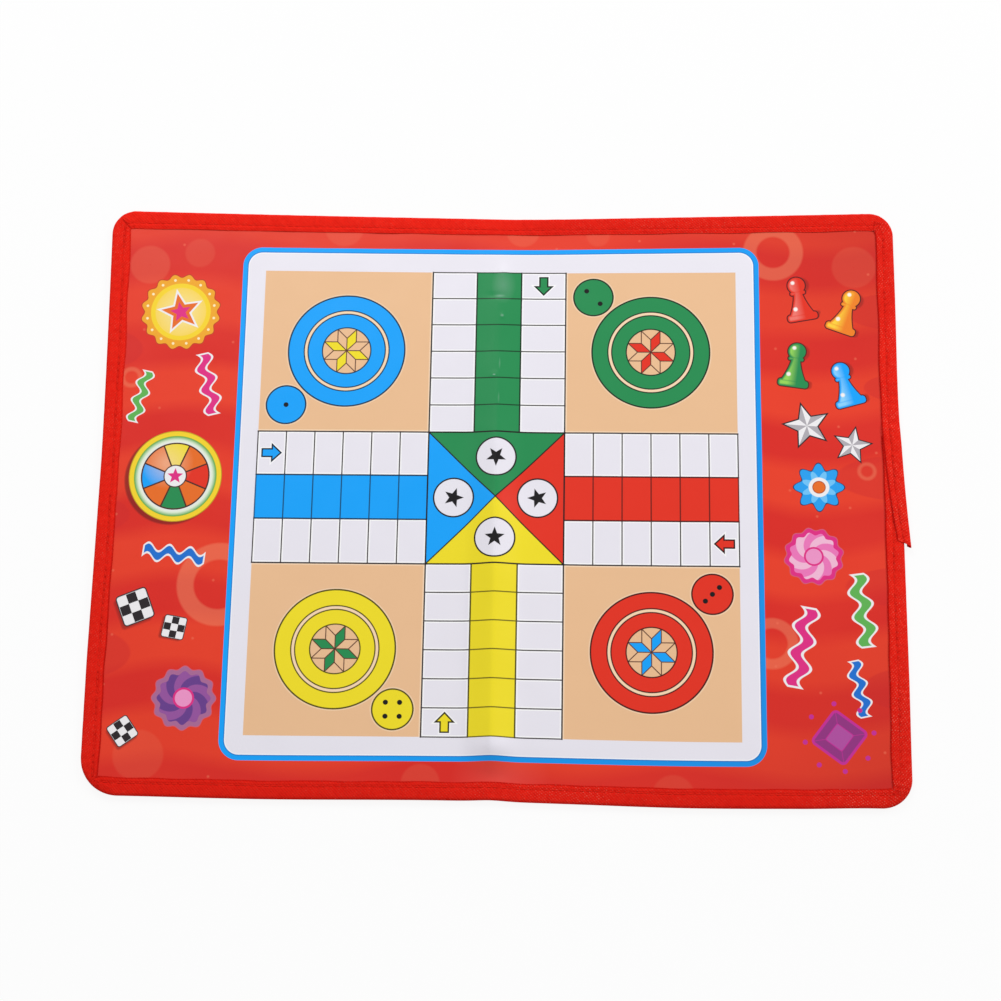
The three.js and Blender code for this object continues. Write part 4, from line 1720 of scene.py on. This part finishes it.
def stitches(run, radius, upper):
    """Stitches from hole to hole along a run's row: short arches of rings, each a half sine."""
    seam = run.seam[:, 0]
    holes = np.arange(1, int(seam[-1] / run.pitch)) * run.pitch
    share = np.tile(np.linspace(*STITCH_ENDS, STITCH_RINGS), len(holes))
    at = np.repeat(holes, STITCH_RINGS) + share * run.pitch
    row_x, row_y, _, _ = run.place(run.groove)
    row_x, row_y = drawn(row_x[:, 0], row_y[:, 0])
    rows = (row_x + run.stand[:, 0], row_y, run.out_x[:, 0], run.out_y[:, 0], run.level)
    x, y, out_x, out_y, level = (np.interp(at, seam, row)[:, None] for row in rows)
    arch = np.sin(share * math.pi)[:, None]
    z = level + NEEDLE_LEVEL + NEEDLE_ARCH * arch if upper else BOBBIN_LEVEL + BOBBIN_ARCH * arch
    angle = np.linspace(0, FULL_TURN, STITCH_SIDES, endpoint=False)[None, :]
    thick = radius * (THREAD_AT_HOLE + (1 - THREAD_AT_HOLE) * np.sqrt(arch))
    outward = np.cos(angle) * thick
    upward = np.sin(angle) * thick * THREAD_FLATNESS
    points = np.stack([x + out_x * outward, y + out_y * outward, z + upward], -1)
    place = np.stack(np.broadcast_arrays(at[:, None], angle / FULL_TURN, 0), -1)
    return points.reshape(-1, 3), place.reshape(-1, 3)


def thread_piece(name, runs, sizes, upper, material):
    """All the stitches of one thread, each a closed tube."""
    made = [stitches(run, sizes.thread_width / 2, upper) for run in runs]
    points = np.concatenate([one for one, _ in made])
    place = np.concatenate([other for _, other in made])
    count = len(points) // (STITCH_RINGS * STITCH_SIDES)
    faces, caps = tube_faces(points, STITCH_RINGS, STITCH_SIDES, count)
    return new_piece(name, points, faces, material, "thread", caps, thread_place=place)


# Stage

# Camera, as fitted to the printed field: lens and sensor width in millimetres, place, turns about
# x, y and z in degrees, and the nearest and farthest that it sees, in metres
LENS, SENSOR = 72.36, 36
CAMERA_PLACE = (46.7 * MM, -319.9 * MM, 1149.0 * MM)
CAMERA_TURNS = (15.528, 2.106, 0.444)
CLIP_START, CLIP_END = 0.05, 50

# Floor: half width in metres, drop below the board, shade, and how bright the camera sees it
FLOOR_REACH = 6
FLOOR_DROP = 0.05 * MM
FLOOR_SHADE = 0.86
FLOOR_GLOW = 0.9
WORLD_STRENGTH = 0.5

# Lamps: name, place and size in metres, and power in watts
LAMPS = (
    ("key_lamp", (2.0, 1.3, 1.6), 1.2, 32),
    ("rear_lamp", (-0.45, 1.45, 1.3), 1.0, 17),
)


class LUDO_OT_stage(bpy.types.Operator):
    """Makes the floor, the soft lamps, the plain surroundings and the camera"""

    bl_idname = "ludo.stage"
    bl_label = "Stage"

    def execute(self, context):
        scene = context.scene
        scene.view_settings.view_transform = "Standard"
        self.camera(scene)
        self.floor(scene)
        self.lamps(scene)
        return {"FINISHED"}

    def camera(self, scene):
        data = bpy.data.cameras.new("camera")
        data.sensor_width = SENSOR
        data.lens = LENS
        data.clip_start = CLIP_START
        data.clip_end = CLIP_END
        camera = bpy.data.objects.new("camera", data)
        camera.rotation_mode = "ZYX"
        camera.location = CAMERA_PLACE
        camera.rotation_euler = Euler([math.radians(turn) for turn in CAMERA_TURNS], "ZYX")
        scene.collection.objects.link(camera)
        scene.camera = camera

    def floor(self, scene):
        corners = [(-1, -1), (1, -1), (1, 1), (-1, 1)]
        mesh = bpy.data.meshes.new("floor")
        points = [(x * FLOOR_REACH, y * FLOOR_REACH, -FLOOR_DROP) for x, y in corners]
        mesh.from_pydata(points, [], [(0, 1, 2, 3)])
        material = bpy.data.materials.new("pale_floor")
        material.use_nodes = True
        tree = material.node_tree
        tree.nodes.clear()
        lit = tree.nodes.new("ShaderNodeBsdfDiffuse")
        lit.inputs["Color"].default_value = (FLOOR_SHADE, FLOOR_SHADE, FLOOR_SHADE, 1)
        glow = tree.nodes.new("ShaderNodeEmission")
        rays = tree.nodes.new("ShaderNodeLightPath")
        seen = Field(tree, rays.outputs["Is Camera Ray"])
        glossy = Field(tree, rays.outputs["Is Glossy Ray"])
        through = Field(tree, rays.outputs["Is Transmission Ray"])
        share = calc(tree, "ADD", seen + glossy, through, clamp=True) * FLOOR_GLOW
        mix = tree.nodes.new("ShaderNodeMixShader")
        feed(tree, share, mix.inputs[0])
        tree.links.new(lit.outputs[0], mix.inputs[1])
        tree.links.new(glow.outputs[0], mix.inputs[2])
        output = tree.nodes.new("ShaderNodeOutputMaterial")
        tree.links.new(mix.outputs[0], output.inputs["Surface"])
        mesh.materials.append(material)
        floor = bpy.data.objects.new("floor", mesh)
        scene.collection.objects.link(floor)

    def lamps(self, scene):
        world = bpy.data.worlds.new("surroundings")
        world.use_nodes = True
        background = world.node_tree.nodes["Background"]
        background.inputs["Color"].default_value = (1, 1, 1, 1)
        background.inputs["Strength"].default_value = WORLD_STRENGTH
        scene.world = world
        for name, place, size, power in LAMPS:
            data = bpy.data.lights.new(name, "AREA")
            data.shape = "DISK"
            data.size = size
            data.energy = power
            lamp = bpy.data.objects.new(name, data)
            lamp.location = place
            lamp.rotation_euler = Vector(place).to_track_quat("Z", "Y").to_euler()
            scene.collection.objects.link(lamp)


# Pieces


class LUDO_OT_face(bpy.types.Operator):
    """Makes the printed face sheet in two halves, which meet on the crest of the fold"""

    bl_idname = "ludo.face"
    bl_label = "Printed face"

    def execute(self, context):
        sizes, colours = context.scene.ludo_sizes, context.scene.ludo_colours
        rng = np.random.default_rng(sizes.seed)
        material = film_material(sizes, colours)
        for side, word, body in ((-1, "left", LEFT), (1, "right", RIGHT)):
            points, faces, flat = face_half(side, rng)
            name = f"printed_sheet_{word}"
            piece = new_piece(name, points, faces, material, "printed_sheet", print_place=flat)
            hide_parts(f"face_{word}", f"face_ridge_{word}")
            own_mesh(piece)
            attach(piece, body)
        return {"FINISHED"}


# The backing: shade against the binding's colour, how it rises at the fold (height and reach), its
# waves (length and height), and its grid: the half width of the fine middle, the columns beside it
# and in it, and the rows
BACKING_SHADE = 0.85
BACKING_RISE = 0.25 * MM, 3 * MM
BACKING_WAVES = 45 * MM, 0.04 * MM
BACKING_MIDDLE = 12 * MM
BACKING_OUTER_COLUMNS, BACKING_MIDDLE_COLUMNS, BACKING_ROWS = 70, 61, 141


class LUDO_OT_backing(bpy.types.Operator):
    """Makes the backing sheet in one piece, across the fold"""

    bl_idname = "ludo.backing"
    bl_label = "Backing"

    def execute(self, context):
        sizes, colours = context.scene.ludo_sizes, context.scene.ludo_colours
        rng = np.random.default_rng(sizes.seed + 1)
        points, faces, _ = self.sheet(rng)
        material = backing_material(tuple(c * BACKING_SHADE for c in colours.cloth))
        piece = new_piece("backing_sheet", points, faces, material, "backing_cloth")
        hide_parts("backing_left", "backing_right", "backing_fold")
        across_fold(piece)
        return {"FINISHED"}

    def sheet(self, rng):
        """A grid across both panels, finer at the fold, where it rises a little between the cards'
        edges."""
        outer = np.linspace(BACKING_MIDDLE, HALF_WIDTH - SHEET_INSET, BACKING_OUTER_COLUMNS)
        middle = np.linspace(-BACKING_MIDDLE, BACKING_MIDDLE, BACKING_MIDDLE_COLUMNS)[1:-1]
        across = np.concatenate([-outer[::-1], middle, outer])
        x, y = sheet_grid(across, BACKING_ROWS, SHEET_INSET)
        height, reach = BACKING_RISE
        top = BACKING_HIGH.z + height * bell(x, reach) + unevenness(rng, x, y, *BACKING_WAVES)
        return plate(x, y, top, BACKING_HIGH.z - BACKING_LOW.z)


class LUDO_OT_binding(bpy.types.Operator):
    """Makes the binding tape, folded over the edges, with its stitching"""

    bl_idname = "ludo.binding"
    bl_label = "Binding and stitching"

    def execute(self, context):
        sizes, colours = context.scene.ludo_sizes, context.scene.ludo_colours
        rng = np.random.default_rng(sizes.seed + 2)
        cloth = tape_material(sizes, colours.cloth)
        runs = Run(front_path(), sizes, rng, False), Run(rear_path(), sizes, rng, True)
        front = runs[0].build("binding_tape_front", cloth)
        rear = runs[1].build("binding_tape_rear", cloth)
        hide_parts("binding_left", "binding_right_front", "binding_fold_front")
        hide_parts("binding_right_rear", "binding_lap", "binding_fold_rear")
        for piece, run in zip((front, rear), runs):
            across_fold(piece)
        thread = thread_material(colours.thread)
        for name, upper in (("needle_thread", True), ("bobbin_thread", False)):
            piece = thread_piece(f"{name}_stitches", runs, sizes, upper, thread)
            ends = ("left", "right", "fold_rear", "fold_front")
            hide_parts(*[f"{name}_{end}" for end in ends])
            across_fold(piece)
        return {"FINISHED"}


CARD_COLUMNS, CARD_ROWS = 60, 60


class LUDO_OT_cards(bpy.types.Operator):
    """Makes the two card panels between the sheets"""

    bl_idname = "ludo.cards"
    bl_label = "Cards"

    def execute(self, context):
        material = board_material()
        for side, word, body in ((-1, "left", LEFT), (1, "right", RIGHT)):
            across = side * np.linspace(-CARD_HIGH.x, HALF_WIDTH - CARD_INSET, CARD_COLUMNS)
            x, y = sheet_grid(across, CARD_ROWS, CARD_INSET)
            points, faces, _ = plate(x, y, 0 * y + CARD_HIGH.z, CARD_HIGH.z - CARD_LOW.z)
            piece = new_piece(f"card_panel_{word}", points, faces, material, "card")
            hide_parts(f"card_{word}")
            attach(piece, body)
        return {"FINISHED"}


OPERATORS = (LUDO_OT_stage, LUDO_OT_cards, LUDO_OT_backing, LUDO_OT_face, LUDO_OT_binding)


class LUDO_PT_board(bpy.types.Panel):
    """Lists the board's operators, sizes and colours"""

    bl_idname = "LUDO_PT_board"
    bl_label = "Folding ludo board"
    bl_space_type = "VIEW_3D"
    bl_region_type = "UI"
    bl_category = "Ludo board"

    def draw(self, context):
        for operator in OPERATORS:
            self.layout.operator(operator.bl_idname)
        for group in (context.scene.ludo_sizes, context.scene.ludo_colours):
            for name in group.bl_rna.properties.keys():
                if name not in ("rna_type", "name"):
                    self.layout.prop(group, name)


CLASSES = (BoardSizes, BoardColours, *OPERATORS, LUDO_PT_board)


def register():
    for cls in CLASSES:
        bpy.utils.register_class(cls)
    bpy.types.Scene.ludo_sizes = PointerProperty(type=BoardSizes)
    bpy.types.Scene.ludo_colours = PointerProperty(type=BoardColours)


def unregister():
    del bpy.types.Scene.ludo_colours
    del bpy.types.Scene.ludo_sizes
    for cls in reversed(CLASSES):
        bpy.utils.unregister_class(cls)


def main():
    """Makes the stage and every piece in order."""
    register()
    bpy.ops.ludo.stage()
    bpy.ops.ludo.cards()
    bpy.ops.ludo.backing()
    bpy.ops.ludo.face()
    bpy.ops.ludo.binding()


if __name__ == "__main__":
    main()
